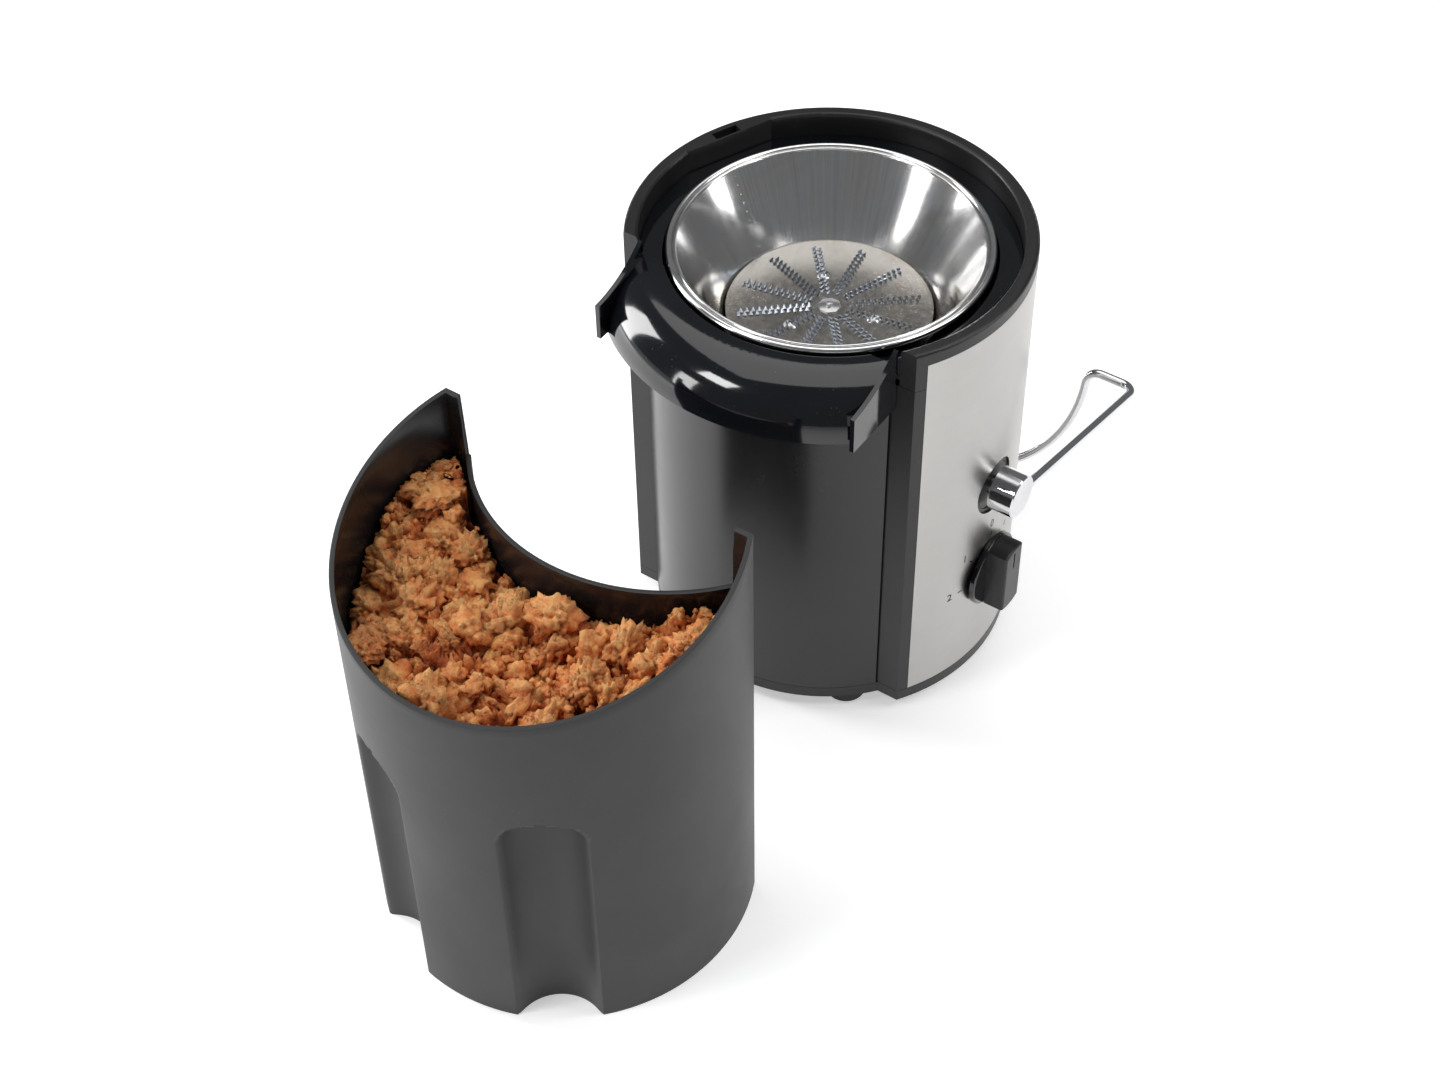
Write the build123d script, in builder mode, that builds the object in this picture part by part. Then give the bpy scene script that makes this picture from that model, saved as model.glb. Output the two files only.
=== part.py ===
from build123d import *
import os
from math import asin, cos, degrees, radians, sin, sqrt

# Centrifugal juicer, millimetres, +Z up, origin on the table under the middle of the whole set.
# The drum-shaped body stands on +Y, its pulp container is drawn out towards -Y.
# Heights are measured from the table, radii and sideways places from the body's own axis.

os.makedirs("parts", exist_ok=True)

# ---------------------------------------------------------------- driving dimensions
AXIS_Y = 81.0              # body axis, from the origin
BODY_R = 86.5              # outside of the steel drum
BASE_Z = 6.0               # underside of the base plate
BAND_TOP = 12.0            # top of the black band under the steel
STEEL_TOP = 205.5
RING_TOP = 212.0
WALL = 2.6                 # moulded walls
SHEET = 0.8                # steel sheet

SHOULDER_Y = -49.0         # flat shoulders either side of the dock
STRIP_Y = -44.6            # where the steel stops and the black corner strip starts
PANEL_R = 78.4             # glossy dock panel
PANEL_T = 2.0
DOCK_R = PANEL_R - PANEL_T - 0.2
PANEL_TOP = 194.0
FRAME_R = BODY_R - SHEET - 0.2
FRAME_TOP = 193.0

DECK_Z = 128.0             # underside of the motor deck
DECK_T = 3.0
BOWL_FLOOR = 150.0
BOWL_R = 72.8
BOWL_T = 2.2
BOWL_LEDGE = 199.0         # underside of the bowl's rim flange
LEDGE_T = 2.0
RING_IN_R = 80.6

LIP_R = 97.5               # pulp chute lip over the container
LIP_Z = 181.0
CROWN_Z = 203.5
CHUTE_X = 63.0             # half width over the chute's cheeks
CHEEK_T = 2.0
CHEEK_Y = -81.0
CHUTE_FLAT = 4.0           # level strip of the chute beside the basket
CHEEK_TOP_Z = 211.5
CHEEK_DIP = (-67.0, 201.0)  # hollow of the cheek's upper edge
CHEEK_NOSE_Z = 198.0

PIVOT_Z = 110.0            # locking bail
BOSS_R = 10.0
BOSS_END = 99.5
BOSS_START = 88.0
BOSS_HOLE_R = 13.5
PIN_R = 4.0
ROD_R = 2.2
LEG_X = 96.8
LEG_LENGTH = 118.0
BOW_R = 72.0
DROOP = 12.5               # degrees below level when the bail hangs on its stop
BEND_R = 7.0

KNOB_Z = 60.0
KNOB_R = 17.5
GRIP_W = 14.0
GRIP_H = 35.0
KNOB_END = 99.0

DISC_R = 44.5
DISC_Z = 169.0             # underside of the grater disc
DISC_T = 1.4
CONE_T = 0.6
RIM_R = 69.35
RIM_Z = 204.2
RIM_WIRE = 1.5

SHAFT_R = 4.0
FIT = 0.05                 # running fits
STATOR_R = 37.0
STATOR_Z = 62.0
STATOR_H = 36.0
ROTOR_R = 20.0
COMM_Z = 40.0
COMM_H = 13.0
LOWER_BEARING_Z = 26.0
UPPER_BEARING_Z = 118.0
BEARING_R = 11.0
BEARING_H = 7.0

SPOUT_HALF = 13.0
SPOUT_TIP = 116.0
NOZZLE_Y = 58.0
NOZZLE_R = 6.5

TUB_R = 80.0               # pulp container, outside
TUB_OFFSET = -84.5         # its centre from the body axis when it is docked
TUB_OUT = 115.5            # how far it stands drawn out
TUB_T = 2.0
TUB_FLOOR = 3.0
TUB_NEST_R = 80.0          # hollow side that hugs the dock panel
TUB_LOW_RIM = 179.0        # rim height at its outermost point
TUB_HORN_RIM = 211.5       # rim height at the horns
TUB_NEST_RIM = 180.2
HORN_X = 63.7              # the horns stand outside the chute's cheeks
TAB_X = 64.6               # upright tabs at the horn tips
TAB_STEP = 10.0
GRIP_R = 19.0              # finger grooves
GRIP_DEPTH = 12.0
GRIP_TOP = 127.0
GRIP_ANGLES = (34.0, -23.0)  # thumb and finger grooves, from the outermost direction

FOOT_R = 9.0
FOOT_PLACES = [(-58, 38), (58, 38), (-46, -52), (46, -52)]
SCREW_R = 2.0
DISC_SCREW_TURN = 9.5      # first of the three disc screws, from +X
DISC_SCREW_CIRCLE = 20.5
DISC_SCREW_HOLE = 1.6
CORD_Z = 24.0              # cord inlet
SLOT_ANGLE = 157.0         # interlock slot, counted from +X towards +Y
SLOT_LAND_IN = 77.7        # flat inside of the ring at the slot, from the axis
SLOT_LAND_OUT = 82.3
SLOT_LAND_W = 43.0

AXIS = Axis((0, AXIS_Y, 0), (0, 0, 1))


# ---------------------------------------------------------------- planes
def level(height, x=0, y=0):
    """Horizontal plane at a height, with its origin at a place seen from the body axis."""
    return Plane(origin=(x, AXIS_Y + y, height))


def facing(x, z=0.0):
    """Upright plane at x, looking from +X: local x runs to +Y and local y runs up."""
    return Plane(origin=(x, AXIS_Y, z), x_dir=(0, 1, 0), z_dir=(1, 0, 0))


RADIAL = Plane(origin=(0, AXIS_Y, 0), x_dir=(1, 0, 0), z_dir=(0, -1, 0))
FAR = 300.0


def save(piece, name):
    """Labels a finished piece and writes it."""
    piece.part.label = name
    export_step(piece.part, f"parts/{name}.step")


def ring_part(height, thickness, outer, inner=0.0, x=0.0, y=0.0):
    """A washer or a disc standing upright on a level plane."""
    with BuildPart() as piece:
        with BuildSketch(level(height, x, y)):
            Circle(outer)
            if inner > 0:
                Circle(inner, mode=Mode.SUBTRACT)
        extrude(amount=thickness)
    return piece


def plan_slice(radius, low, high, inner=0.0):
    """Plan of a disc or a ring between two y values."""
    with BuildSketch() as plan:
        Circle(radius)
        if inner > 0:
            Circle(inner, mode=Mode.SUBTRACT)
        with Locations((0, (low + high) / 2)):
            Rectangle(FAR, high - low, mode=Mode.INTERSECT)
    return plan.sketch


def body_outline(drum, dock, shoulder):
    """Body plan: a drum cut straight at the shoulders, with the dock's curve bulging past them."""
    with BuildSketch() as plan:
        Circle(drum)
        with Locations((0, shoulder - FAR / 2)):
            Rectangle(FAR, FAR, mode=Mode.SUBTRACT)
        Circle(dock)
    return plan.sketch


# ---------------------------------------------------------------- base
def base_plate():
    """Black base: a tray with a low rim, air slots and four screw holes."""
    with BuildPart() as piece:
        with BuildSketch(level(BASE_Z)):
            add(body_outline(BODY_R, PANEL_R, SHOULDER_Y))
        extrude(amount=BAND_TOP - BASE_Z - 0.2)
        with BuildSketch(level(BASE_Z + WALL)):
            add(body_outline(BODY_R - WALL, PANEL_R - WALL, SHOULDER_Y + WALL))
        extrude(amount=BAND_TOP, mode=Mode.SUBTRACT)
        with BuildSketch(level(BASE_Z)):
            with Locations(*[(0, step * 7 - 14) for step in range(5)]):
                SlotOverall(50, 3)
            with Locations(*FOOT_PLACES):
                Circle(SCREW_R + 0.3)
        extrude(amount=WALL, mode=Mode.SUBTRACT)
    save(piece, "base_plate")


def feet():
    """Rubber feet: low domes with a stem hole for the base screws."""
    with BuildPart() as piece:
        with BuildSketch(level(0)):
            with Locations(*FOOT_PLACES):
                Circle(FOOT_R)
        extrude(amount=BASE_Z)
        chamfer(piece.edges().group_by(Axis.Z)[0], 2)
        with BuildSketch(level(3)):
            with Locations(*FOOT_PLACES):
                Circle(SCREW_R + 2)
        extrude(amount=BASE_Z, mode=Mode.SUBTRACT)
    save(piece, "feet")


def base_screws():
    """Four screws that hold feet and base to the frame."""
    with BuildPart() as piece:
        with BuildSketch(level(4)):
            with Locations(*FOOT_PLACES):
                Circle(SCREW_R + 1.6)
        extrude(amount=BASE_Z - 4)
        with BuildSketch(level(BASE_Z)):
            with Locations(*FOOT_PLACES):
                Circle(SCREW_R)
        extrude(amount=14)
    save(piece, "base_screws")


# ---------------------------------------------------------------- housing
def side_drill(radius, height, sides=(1, -1)):
    """Round cutter through the drum's wall at +X, at -X, or at both."""
    with BuildPart() as drill:
        for side in sides:
            with BuildSketch(facing(side * 60, height)):
                Circle(radius)
            extrude(amount=side * 50)
    return drill.part


def spout_window(margin):
    """Cutter for the juice spout's window through the wall at +Y."""
    with BuildPart() as window:
        with BuildSketch(Plane(origin=(0, AXIS_Y + 70, 136.6), x_dir=(1, 0, 0), z_dir=(0, -1, 0))):
            Rectangle(2 * (SPOUT_HALF + margin), 10 + 2 * margin)
        extrude(amount=-40)
    return window.part


def housing_frame():
    """Moulded inner drum: dock wall, shoulder corners, screw posts, and bosses for the pivots."""
    inner_shoulder = SHOULDER_Y + WALL
    with BuildPart() as piece:
        with BuildSketch(level(BAND_TOP)):
            add(body_outline(FRAME_R, DOCK_R, SHOULDER_Y))
            add(plan_slice(BODY_R, SHOULDER_Y, STRIP_Y - 0.2))
            add(body_outline(FRAME_R - WALL, DOCK_R - WALL, inner_shoulder), mode=Mode.SUBTRACT)
        extrude(amount=FRAME_TOP - BAND_TOP)
        for x, y in FOOT_PLACES:
            with BuildSketch(level(BASE_Z + WALL + 0.2, x, y)):
                Circle(5.5)
                Circle(SCREW_R, mode=Mode.SUBTRACT)
            extrude(amount=22)
        for x, y in FOOT_PLACES:
            reach = DOCK_R - WALL / 2 if y < 0 else FRAME_R - WALL / 2
            length = sqrt(x * x + y * y)
            spot = (reach + length + 5) / 2
            turn = degrees(asin(y / length)) if x > 0 else 180 - degrees(asin(y / length))
            with BuildSketch(level(BAND_TOP, x * spot / length, y * spot / length)):
                Rectangle(reach - length - 5, 3, rotation=turn)
            extrude(amount=18)
        for side in (1, -1):
            with BuildSketch(facing(side * 70, PIVOT_Z)):
                Circle(9)
            extrude(amount=side * 13.5)
        add(side_drill(PIN_R + 2.5, PIVOT_Z), mode=Mode.SUBTRACT)
        add(side_drill(6.2, KNOB_Z, (1,)), mode=Mode.SUBTRACT)
        add(side_drill(6.2, CORD_Z, (-1,)), mode=Mode.SUBTRACT)
        for side in (1, -1):
            with BuildSketch(facing(side * 83.5, PIVOT_Z)):
                Circle(BOSS_R + 1.5)
            extrude(amount=side * 8, mode=Mode.SUBTRACT)
        add(spout_window(0.3), mode=Mode.SUBTRACT)
        with BuildSketch(level(DECK_Z - 3.2)):
            add(plan_slice(FRAME_R - WALL / 2, -30, FAR, FRAME_R - WALL - 4))
        extrude(amount=3)
    save(piece, "housing_frame")


def steel_wrap():
    """Brushed sheet round the drum, from one shoulder strip to the other."""
    with BuildPart() as piece:
        with BuildSketch(level(BAND_TOP)):
            add(plan_slice(BODY_R, STRIP_Y, FAR, BODY_R - SHEET))
        extrude(amount=STEEL_TOP - BAND_TOP)
        add(side_drill(BOSS_HOLE_R, PIVOT_Z), mode=Mode.SUBTRACT)
        add(side_drill(6.5, KNOB_Z, (1,)), mode=Mode.SUBTRACT)
        add(side_drill(6.5, CORD_Z, (-1,)), mode=Mode.SUBTRACT)
        add(spout_window(0.8), mode=Mode.SUBTRACT)
    save(piece, "steel_wrap")


def dock_panel():
    """Glossy panel that the container nests against."""
    with BuildPart() as piece:
        with BuildSketch(level(BAND_TOP)):
            add(plan_slice(PANEL_R, -FAR, SHOULDER_Y - 0.9, PANEL_R - PANEL_T))
        extrude(amount=PANEL_TOP - BAND_TOP)
    save(piece, "dock_panel")


def pivot_cups():
    """Dark cups that line the openings round the two pivot bosses."""
    with BuildPart() as piece:
        for side in (1, -1):
            with BuildSketch(facing(side * 83.7, PIVOT_Z)):
                Circle(BOSS_R + 1.3)
                Circle(PIN_R + 0.4, mode=Mode.SUBTRACT)
            extrude(amount=side * 1.2)
    save(piece, "pivot_cups")


def top_ring():
    """C-shaped satin ring with the lid seat, its inner ledge for the bowl and the interlock slot."""
    seat_edge = STEEL_TOP + 0.2
    with BuildPart() as piece:
        with BuildSketch(RADIAL):
            with BuildLine():
                Polyline((FRAME_R, FRAME_TOP + 0.2), (FRAME_R, seat_edge), (BODY_R, seat_edge),
                         (BODY_R, RING_TOP), (RING_IN_R, RING_TOP), (RING_IN_R, BOWL_LEDGE - 0.2),
                         (BOWL_R + 4, BOWL_LEDGE - 0.2), (BOWL_R + 4, BOWL_LEDGE - 2.6),
                         (RING_IN_R, BOWL_LEDGE - 2.6), (RING_IN_R, FRAME_TOP + 0.2), close=True)
            make_face()
        revolve(axis=AXIS)
        fillet(piece.edges().filter_by(GeomType.CIRCLE).group_by(Axis.Z)[-1], 1.4)
        with BuildSketch(level(FRAME_TOP + 0.2)):
            add(plan_slice(BODY_R, SHOULDER_Y, STRIP_Y - 0.2, RING_IN_R))
        extrude(amount=seat_edge - FRAME_TOP - 0.2)
        with BuildSketch(level(FRAME_TOP)):
            with Locations((0, SHOULDER_Y - FAR / 2)):
                Rectangle(FAR, FAR)
        extrude(amount=RING_TOP, mode=Mode.SUBTRACT)
        with BuildSketch(level(FRAME_TOP + 0.2)):
            with PolarLocations((SLOT_LAND_IN + SLOT_LAND_OUT) / 2, 1, start_angle=SLOT_ANGLE):
                Rectangle(SLOT_LAND_OUT - SLOT_LAND_IN, SLOT_LAND_W)
        extrude(amount=RING_TOP - FRAME_TOP - 0.2)
        with BuildSketch(level(FRAME_TOP)):
            with PolarLocations(RING_IN_R + 0.2, 1, start_angle=SLOT_ANGLE):
                Rectangle(4.4, 12.4)
        extrude(amount=RING_TOP, mode=Mode.SUBTRACT)
    save(piece, "top_ring")


def interlock():
    """Lid interlock: a sprung plunger in the ring's slot above a microswitch."""
    with BuildPart() as plunger:
        with BuildSketch(level(FRAME_TOP - 9)):
            with PolarLocations(RING_IN_R + 0.2, 1, start_angle=SLOT_ANGLE):
                Rectangle(3.6, 11.6)
        extrude(amount=RING_TOP - 4 - FRAME_TOP + 9)
    save(plunger, "interlock_plunger")
    with BuildPart() as switch:
        with BuildSketch(level(FRAME_TOP - 32)):
            with PolarLocations(RING_IN_R - 2.2, 1, start_angle=SLOT_ANGLE):
                Rectangle(6.4, 20)
        extrude(amount=17)
        with BuildSketch(level(FRAME_TOP - 15)):
            with PolarLocations(RING_IN_R - 2.2, 1, start_angle=SLOT_ANGLE):
                Rectangle(2.4, 3)
        extrude(amount=1.8)
    save(switch, "interlock_switch")


def motor_deck():
    """Partition over the motor, with the upper bearing seat and a drip collar round the shaft."""
    with BuildPart() as piece:
        with BuildSketch(level(DECK_Z)):
            Circle(FRAME_R - WALL - 0.4)
            with Locations((0, SHOULDER_Y + WALL + 0.4 - FAR / 2)):
                Rectangle(FAR, FAR, mode=Mode.SUBTRACT)
            Circle(DOCK_R - WALL - 0.4)
            Circle(SHAFT_R + 5, mode=Mode.SUBTRACT)
            with PolarLocations(60, 4, start_angle=45):
                Circle(2.2, mode=Mode.SUBTRACT)
        extrude(amount=DECK_T)
        with BuildSketch(level(DECK_Z + DECK_T)):
            Circle(SHAFT_R + 8)
            Circle(SHAFT_R + 5, mode=Mode.SUBTRACT)
        extrude(amount=9)
    save(piece, "motor_deck")
    with BuildPart() as screws:
        with BuildSketch(level(DECK_Z - 9)):
            with PolarLocations(60, 4, start_angle=45):
                Circle(SCREW_R)
        extrude(amount=9 + DECK_T)
        with BuildSketch(level(DECK_Z + DECK_T)):
            with PolarLocations(60, 4, start_angle=45):
                Circle(4)
        extrude(amount=2.4)
    save(screws, "deck_screws")


def shaft_seal():
    """Lip seal round the shaft, in the deck's collar."""
    save(ring_part(DECK_Z + 1, 6, SHAFT_R + 4.95, SHAFT_R + FIT), "shaft_seal")


def juice_spout():
    """Chute that takes the juice from under the bowl out through the drum's wall."""
    with BuildPart() as piece:
        with BuildSketch(Plane(origin=(-SPOUT_HALF, AXIS_Y, 0), x_dir=(0, 1, 0), z_dir=(1, 0, 0))):
            with BuildLine():
                Polyline((NOZZLE_Y - 11, 141.5), (SPOUT_TIP - 16, 141.5), (SPOUT_TIP, 132),
                         (SPOUT_TIP, 121), (SPOUT_TIP - 9, 121), (SPOUT_TIP - 20, 131.7),
                         (NOZZLE_Y - 11, 131.7), close=True)
            make_face()
        extrude(amount=2 * SPOUT_HALF)
        fillet(piece.edges().filter_by(Axis.X).sort_by(Axis.Y)[-2:].sort_by(Axis.Z)[-1:], 5)
        with BuildSketch(Plane(origin=(2 - SPOUT_HALF, AXIS_Y, 0), x_dir=(0, 1, 0), z_dir=(1, 0, 0))):
            with BuildLine():
                Polyline((NOZZLE_Y - 9, 139.5), (SPOUT_TIP - 16.6, 139.5), (SPOUT_TIP - 2, 130.5),
                         (SPOUT_TIP - 2, 120), (SPOUT_TIP - 7, 120), (SPOUT_TIP - 19, 133.3),
                         (NOZZLE_Y - 9, 133.7), close=True)
            make_face()
        extrude(amount=2 * SPOUT_HALF - 4, mode=Mode.SUBTRACT)
        with BuildSketch(level(138, 0, NOZZLE_Y)):
            Circle(NOZZLE_R + 2.4)
        extrude(amount=9, mode=Mode.SUBTRACT)
    save(piece, "juice_spout")


def cord_gland():
    """Bush where the mains lead enters, with its flange outside the steel."""
    with BuildPart() as piece:
        with BuildSketch(facing(-BODY_R - 2.2, CORD_Z)):
            Circle(9)
        extrude(amount=2)
        with BuildSketch(facing(-BODY_R - 0.2, CORD_Z)):
            Circle(6)
        extrude(amount=12)
        with BuildSketch(facing(-BODY_R - 3, CORD_Z)):
            Circle(3.6)
        extrude(amount=20, mode=Mode.SUBTRACT)
    save(piece, "cord_gland")


# ---------------------------------------------------------------- motor
def rotor():
    """Everything that turns with the motor's shaft."""
    with BuildPart() as shaft:
        with BuildSketch(level(LOWER_BEARING_Z - 3)):
            Circle(SHAFT_R)
        extrude(amount=162 - LOWER_BEARING_Z + 3)
    save(shaft, "motor_shaft")

    core_z = STATOR_Z - 1
    core_h = STATOR_H + 2
    with BuildPart() as core:
        with BuildSketch(level(core_z)):
            Circle(ROTOR_R)
            Circle(SHAFT_R, mode=Mode.SUBTRACT)
            with PolarLocations(ROTOR_R - 3, 12):
                SlotOverall(7, 2.4, mode=Mode.SUBTRACT)
        extrude(amount=core_h)
    save(core, "rotor_core")

    with BuildPart() as windings:
        for start in (core_z - 8, core_z + core_h):
            with BuildSketch(level(start)):
                Circle(ROTOR_R - 3)
                Circle(SHAFT_R + 2, mode=Mode.SUBTRACT)
            extrude(amount=8)
    save(windings, "rotor_windings")

    with BuildPart() as commutator:
        with BuildSketch(level(COMM_Z)):
            Circle(BEARING_R)
            Circle(SHAFT_R, mode=Mode.SUBTRACT)
            with PolarLocations(BEARING_R, 24):
                Rectangle(1.6, 0.5, mode=Mode.SUBTRACT)
        extrude(amount=COMM_H)
    save(commutator, "commutator")

    with BuildPart() as fan:
        with BuildSketch(level(109)):
            Circle(29)
            Circle(SHAFT_R, mode=Mode.SUBTRACT)
        extrude(amount=1.6)
        with BuildSketch(level(109)):
            Circle(8)
            Circle(SHAFT_R, mode=Mode.SUBTRACT)
        extrude(amount=5.5)
        with BuildSketch(level(110.6)):
            with PolarLocations(18, 12):
                Rectangle(19, 1.2, rotation=25)
        extrude(amount=4)
    save(fan, "cooling_fan")

    with BuildPart() as coupling:
        with BuildSketch(level(150)):
            Circle(10)
            with PolarLocations(10, 6):
                Circle(2.6)
            Circle(SHAFT_R, mode=Mode.SUBTRACT)
        extrude(amount=12)
        with BuildSketch(level(162)):
            Circle(9)
        extrude(amount=2)
    save(coupling, "drive_coupling")


def bearings():
    """Ball bearings as plain rings, held in the end brackets."""
    save(ring_part(LOWER_BEARING_Z, BEARING_H, BEARING_R, SHAFT_R + FIT), "lower_bearing")
    save(ring_part(UPPER_BEARING_Z, BEARING_H, BEARING_R, SHAFT_R + FIT), "upper_bearing")


def stator():
    """Laminated field core with its two coils."""
    with BuildPart() as core:
        with BuildSketch(level(STATOR_Z)):
            Circle(STATOR_R)
            Circle(STATOR_R - 7, mode=Mode.SUBTRACT)
            add(plan_slice(STATOR_R - 3, -14, 14, ROTOR_R + 0.6))
            with PolarLocations(STATOR_R - 3.5, 2, start_angle=90):
                Circle(2.2, mode=Mode.SUBTRACT)
        extrude(amount=STATOR_H)
    save(core, "stator_core")
    with BuildPart() as coils:
        for start in (STATOR_Z - 7, STATOR_Z + STATOR_H + 0.2):
            for side in (0, 180):
                with BuildSketch(level(start)):
                    with BuildLine():
                        CenterArc((0, 0), STATOR_R - 3, side - 40, 80)
                        CenterArc((0, 0), ROTOR_R + 4, side - 40, 80)
                        Line((STATOR_R - 3) * unit(side - 40), (ROTOR_R + 4) * unit(side - 40))
                        Line((STATOR_R - 3) * unit(side + 40), (ROTOR_R + 4) * unit(side + 40))
                    make_face()
                extrude(amount=6.8)
    save(coils, "field_coils")


def unit(angle):
    """Direction in plan, as a vector."""
    return Vector(cos(radians(angle)), sin(radians(angle)), 0)


def bracket(name, seat_z, disc_z, cup_z, cup_h):
    """End bracket: a bridge across the motor with a cup for the bearing."""
    with BuildPart() as piece:
        with BuildSketch(level(disc_z)):
            Rectangle(24, 2 * STATOR_R + 4)
            Circle(15)
            Circle(SHAFT_R + 1, mode=Mode.SUBTRACT)
            with PolarLocations(STATOR_R - 3.5, 2, start_angle=90):
                Circle(2.2, mode=Mode.SUBTRACT)
        extrude(amount=3)
        with BuildSketch(level(cup_z)):
            Circle(BEARING_R + 2.4)
            Circle(BEARING_R, mode=Mode.SUBTRACT)
        extrude(amount=cup_h)
        with BuildSketch(level(seat_z)):
            Circle(BEARING_R + 2.4)
            Circle(SHAFT_R + 1, mode=Mode.SUBTRACT)
        extrude(amount=1.2)
    save(piece, name)


def brackets():
    """Lower and upper end brackets with their through bolts and spacers."""
    bracket("lower_bracket", LOWER_BEARING_Z - 1.2, LOWER_BEARING_Z + BEARING_H, LOWER_BEARING_Z, BEARING_H)
    bracket("upper_bracket", UPPER_BEARING_Z + BEARING_H, UPPER_BEARING_Z - 3.2, UPPER_BEARING_Z - 0.2,
            BEARING_H + 0.2)
    bolt_from = LOWER_BEARING_Z + BEARING_H - 3
    with BuildPart() as bolts:
        with BuildSketch(level(bolt_from)):
            with PolarLocations(STATOR_R - 3.5, 2, start_angle=90):
                Circle(3.6)
        extrude(amount=3)
        with BuildSketch(level(bolt_from)):
            with PolarLocations(STATOR_R - 3.5, 2, start_angle=90):
                Circle(2.1)
        extrude(amount=UPPER_BEARING_Z + 1.6 - bolt_from)
    save(bolts, "through_bolts")
    with BuildPart() as spacers:
        spans = ((LOWER_BEARING_Z + BEARING_H + 3, STATOR_Z), (STATOR_Z + STATOR_H, UPPER_BEARING_Z - 3.2))
        for low, high in spans:
            with BuildSketch(level(low + 0.1)):
                with PolarLocations(STATOR_R - 3.5, 2, start_angle=90):
                    Circle(3.4)
                    Circle(2.2, mode=Mode.SUBTRACT)
            extrude(amount=high - low - 0.2)
    save(spacers, "bolt_spacers")


def brush_gear():
    """Carbon brushes either side of the commutator, in holders hung from the lower bracket."""
    middle = COMM_Z + COMM_H / 2
    for name, start, length, wide, hollow in (("brushes", BEARING_R + 0.2, 12.0, 5.0, 0.0),
                                              ("brush_holders", BEARING_R + 2.0, 16.0, 8.0, 5.2)):
        with BuildPart() as piece:
            for side in (1, -1):
                with BuildSketch(facing(side * start, middle)):
                    Rectangle(wide, wide + 2)
                    if hollow > 0:
                        Rectangle(hollow, hollow + 2, mode=Mode.SUBTRACT)
                extrude(amount=side * length)
        save(piece, name)
    with BuildPart() as springs:
        for side in (1, -1):
            with BuildSketch(facing(side * (BEARING_R + 12.4), middle)):
                Circle(2.2)
                Circle(1.4, mode=Mode.SUBTRACT)
            extrude(amount=side * 5)
    save(springs, "brush_springs")


def motor_mounts():
    """Rubber posts that carry the motor on the base plate."""
    with BuildPart() as piece:
        with BuildSketch(level(BASE_Z + WALL + 0.1)):
            with PolarLocations(21.5, 2, start_angle=90):
                Circle(5.5)
        extrude(amount=LOWER_BEARING_Z + BEARING_H - BASE_Z - WALL - 0.3)
    save(piece, "motor_mounts")


# ---------------------------------------------------------------- controls
def controls():
    """Speed switch, circuit board and the knob on its spindle."""
    with BuildPart() as switch:
        with BuildSketch(facing(56, KNOB_Z)):
            Rectangle(24, 26)
            Circle(3 + FIT, mode=Mode.SUBTRACT)
        extrude(amount=16)
        with BuildSketch(facing(72, KNOB_Z)):
            Circle(6)
            Circle(3 + FIT, mode=Mode.SUBTRACT)
        extrude(amount=9)
    save(switch, "speed_switch")

    with BuildPart() as spindle:
        with BuildSketch(facing(57, KNOB_Z)):
            Circle(3)
        extrude(amount=34)
    save(spindle, "knob_spindle")

    with BuildPart() as skirt:
        with BuildSketch(facing(BODY_R + 0.5, KNOB_Z)):
            Circle(KNOB_R)
            Circle(3, mode=Mode.SUBTRACT)
        extrude(amount=2.4)
        fillet(skirt.edges().filter_by(GeomType.CIRCLE).group_by(Axis.X)[-1].sort_by(SortBy.LENGTH)[-1], 0.8)
    save(skirt, "knob_skirt")

    start = BODY_R + 2.9
    with BuildPart() as knob:
        with BuildSketch(facing(start, KNOB_Z)):
            Circle(GRIP_H / 2)
            Rectangle(GRIP_W, GRIP_H, mode=Mode.INTERSECT)
        extrude(amount=KNOB_END - start)
        fillet(knob.faces().sort_by(Axis.X)[-1].edges(), 1.2)
        with BuildSketch(facing(KNOB_END, KNOB_Z + 10.5)):
            Rectangle(1.0, 9)
        extrude(amount=-0.6, mode=Mode.SUBTRACT)
        with BuildSketch(facing(start, KNOB_Z)):
            Circle(3)
        extrude(amount=1.6, mode=Mode.SUBTRACT)
    save(knob, "speed_knob")

    with BuildPart() as board:
        with BuildSketch(facing(-52, 60)):
            Rectangle(50, 44)
        extrude(amount=-1.6)
        with BuildSketch(facing(-53.6, 60)):
            with Locations((-14, 10), (-14, -10), (12, 12)):
                Rectangle(12, 10)
            with Locations((10, -8)):
                Circle(6)
        extrude(amount=-9)
    save(board, "control_board")


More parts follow.
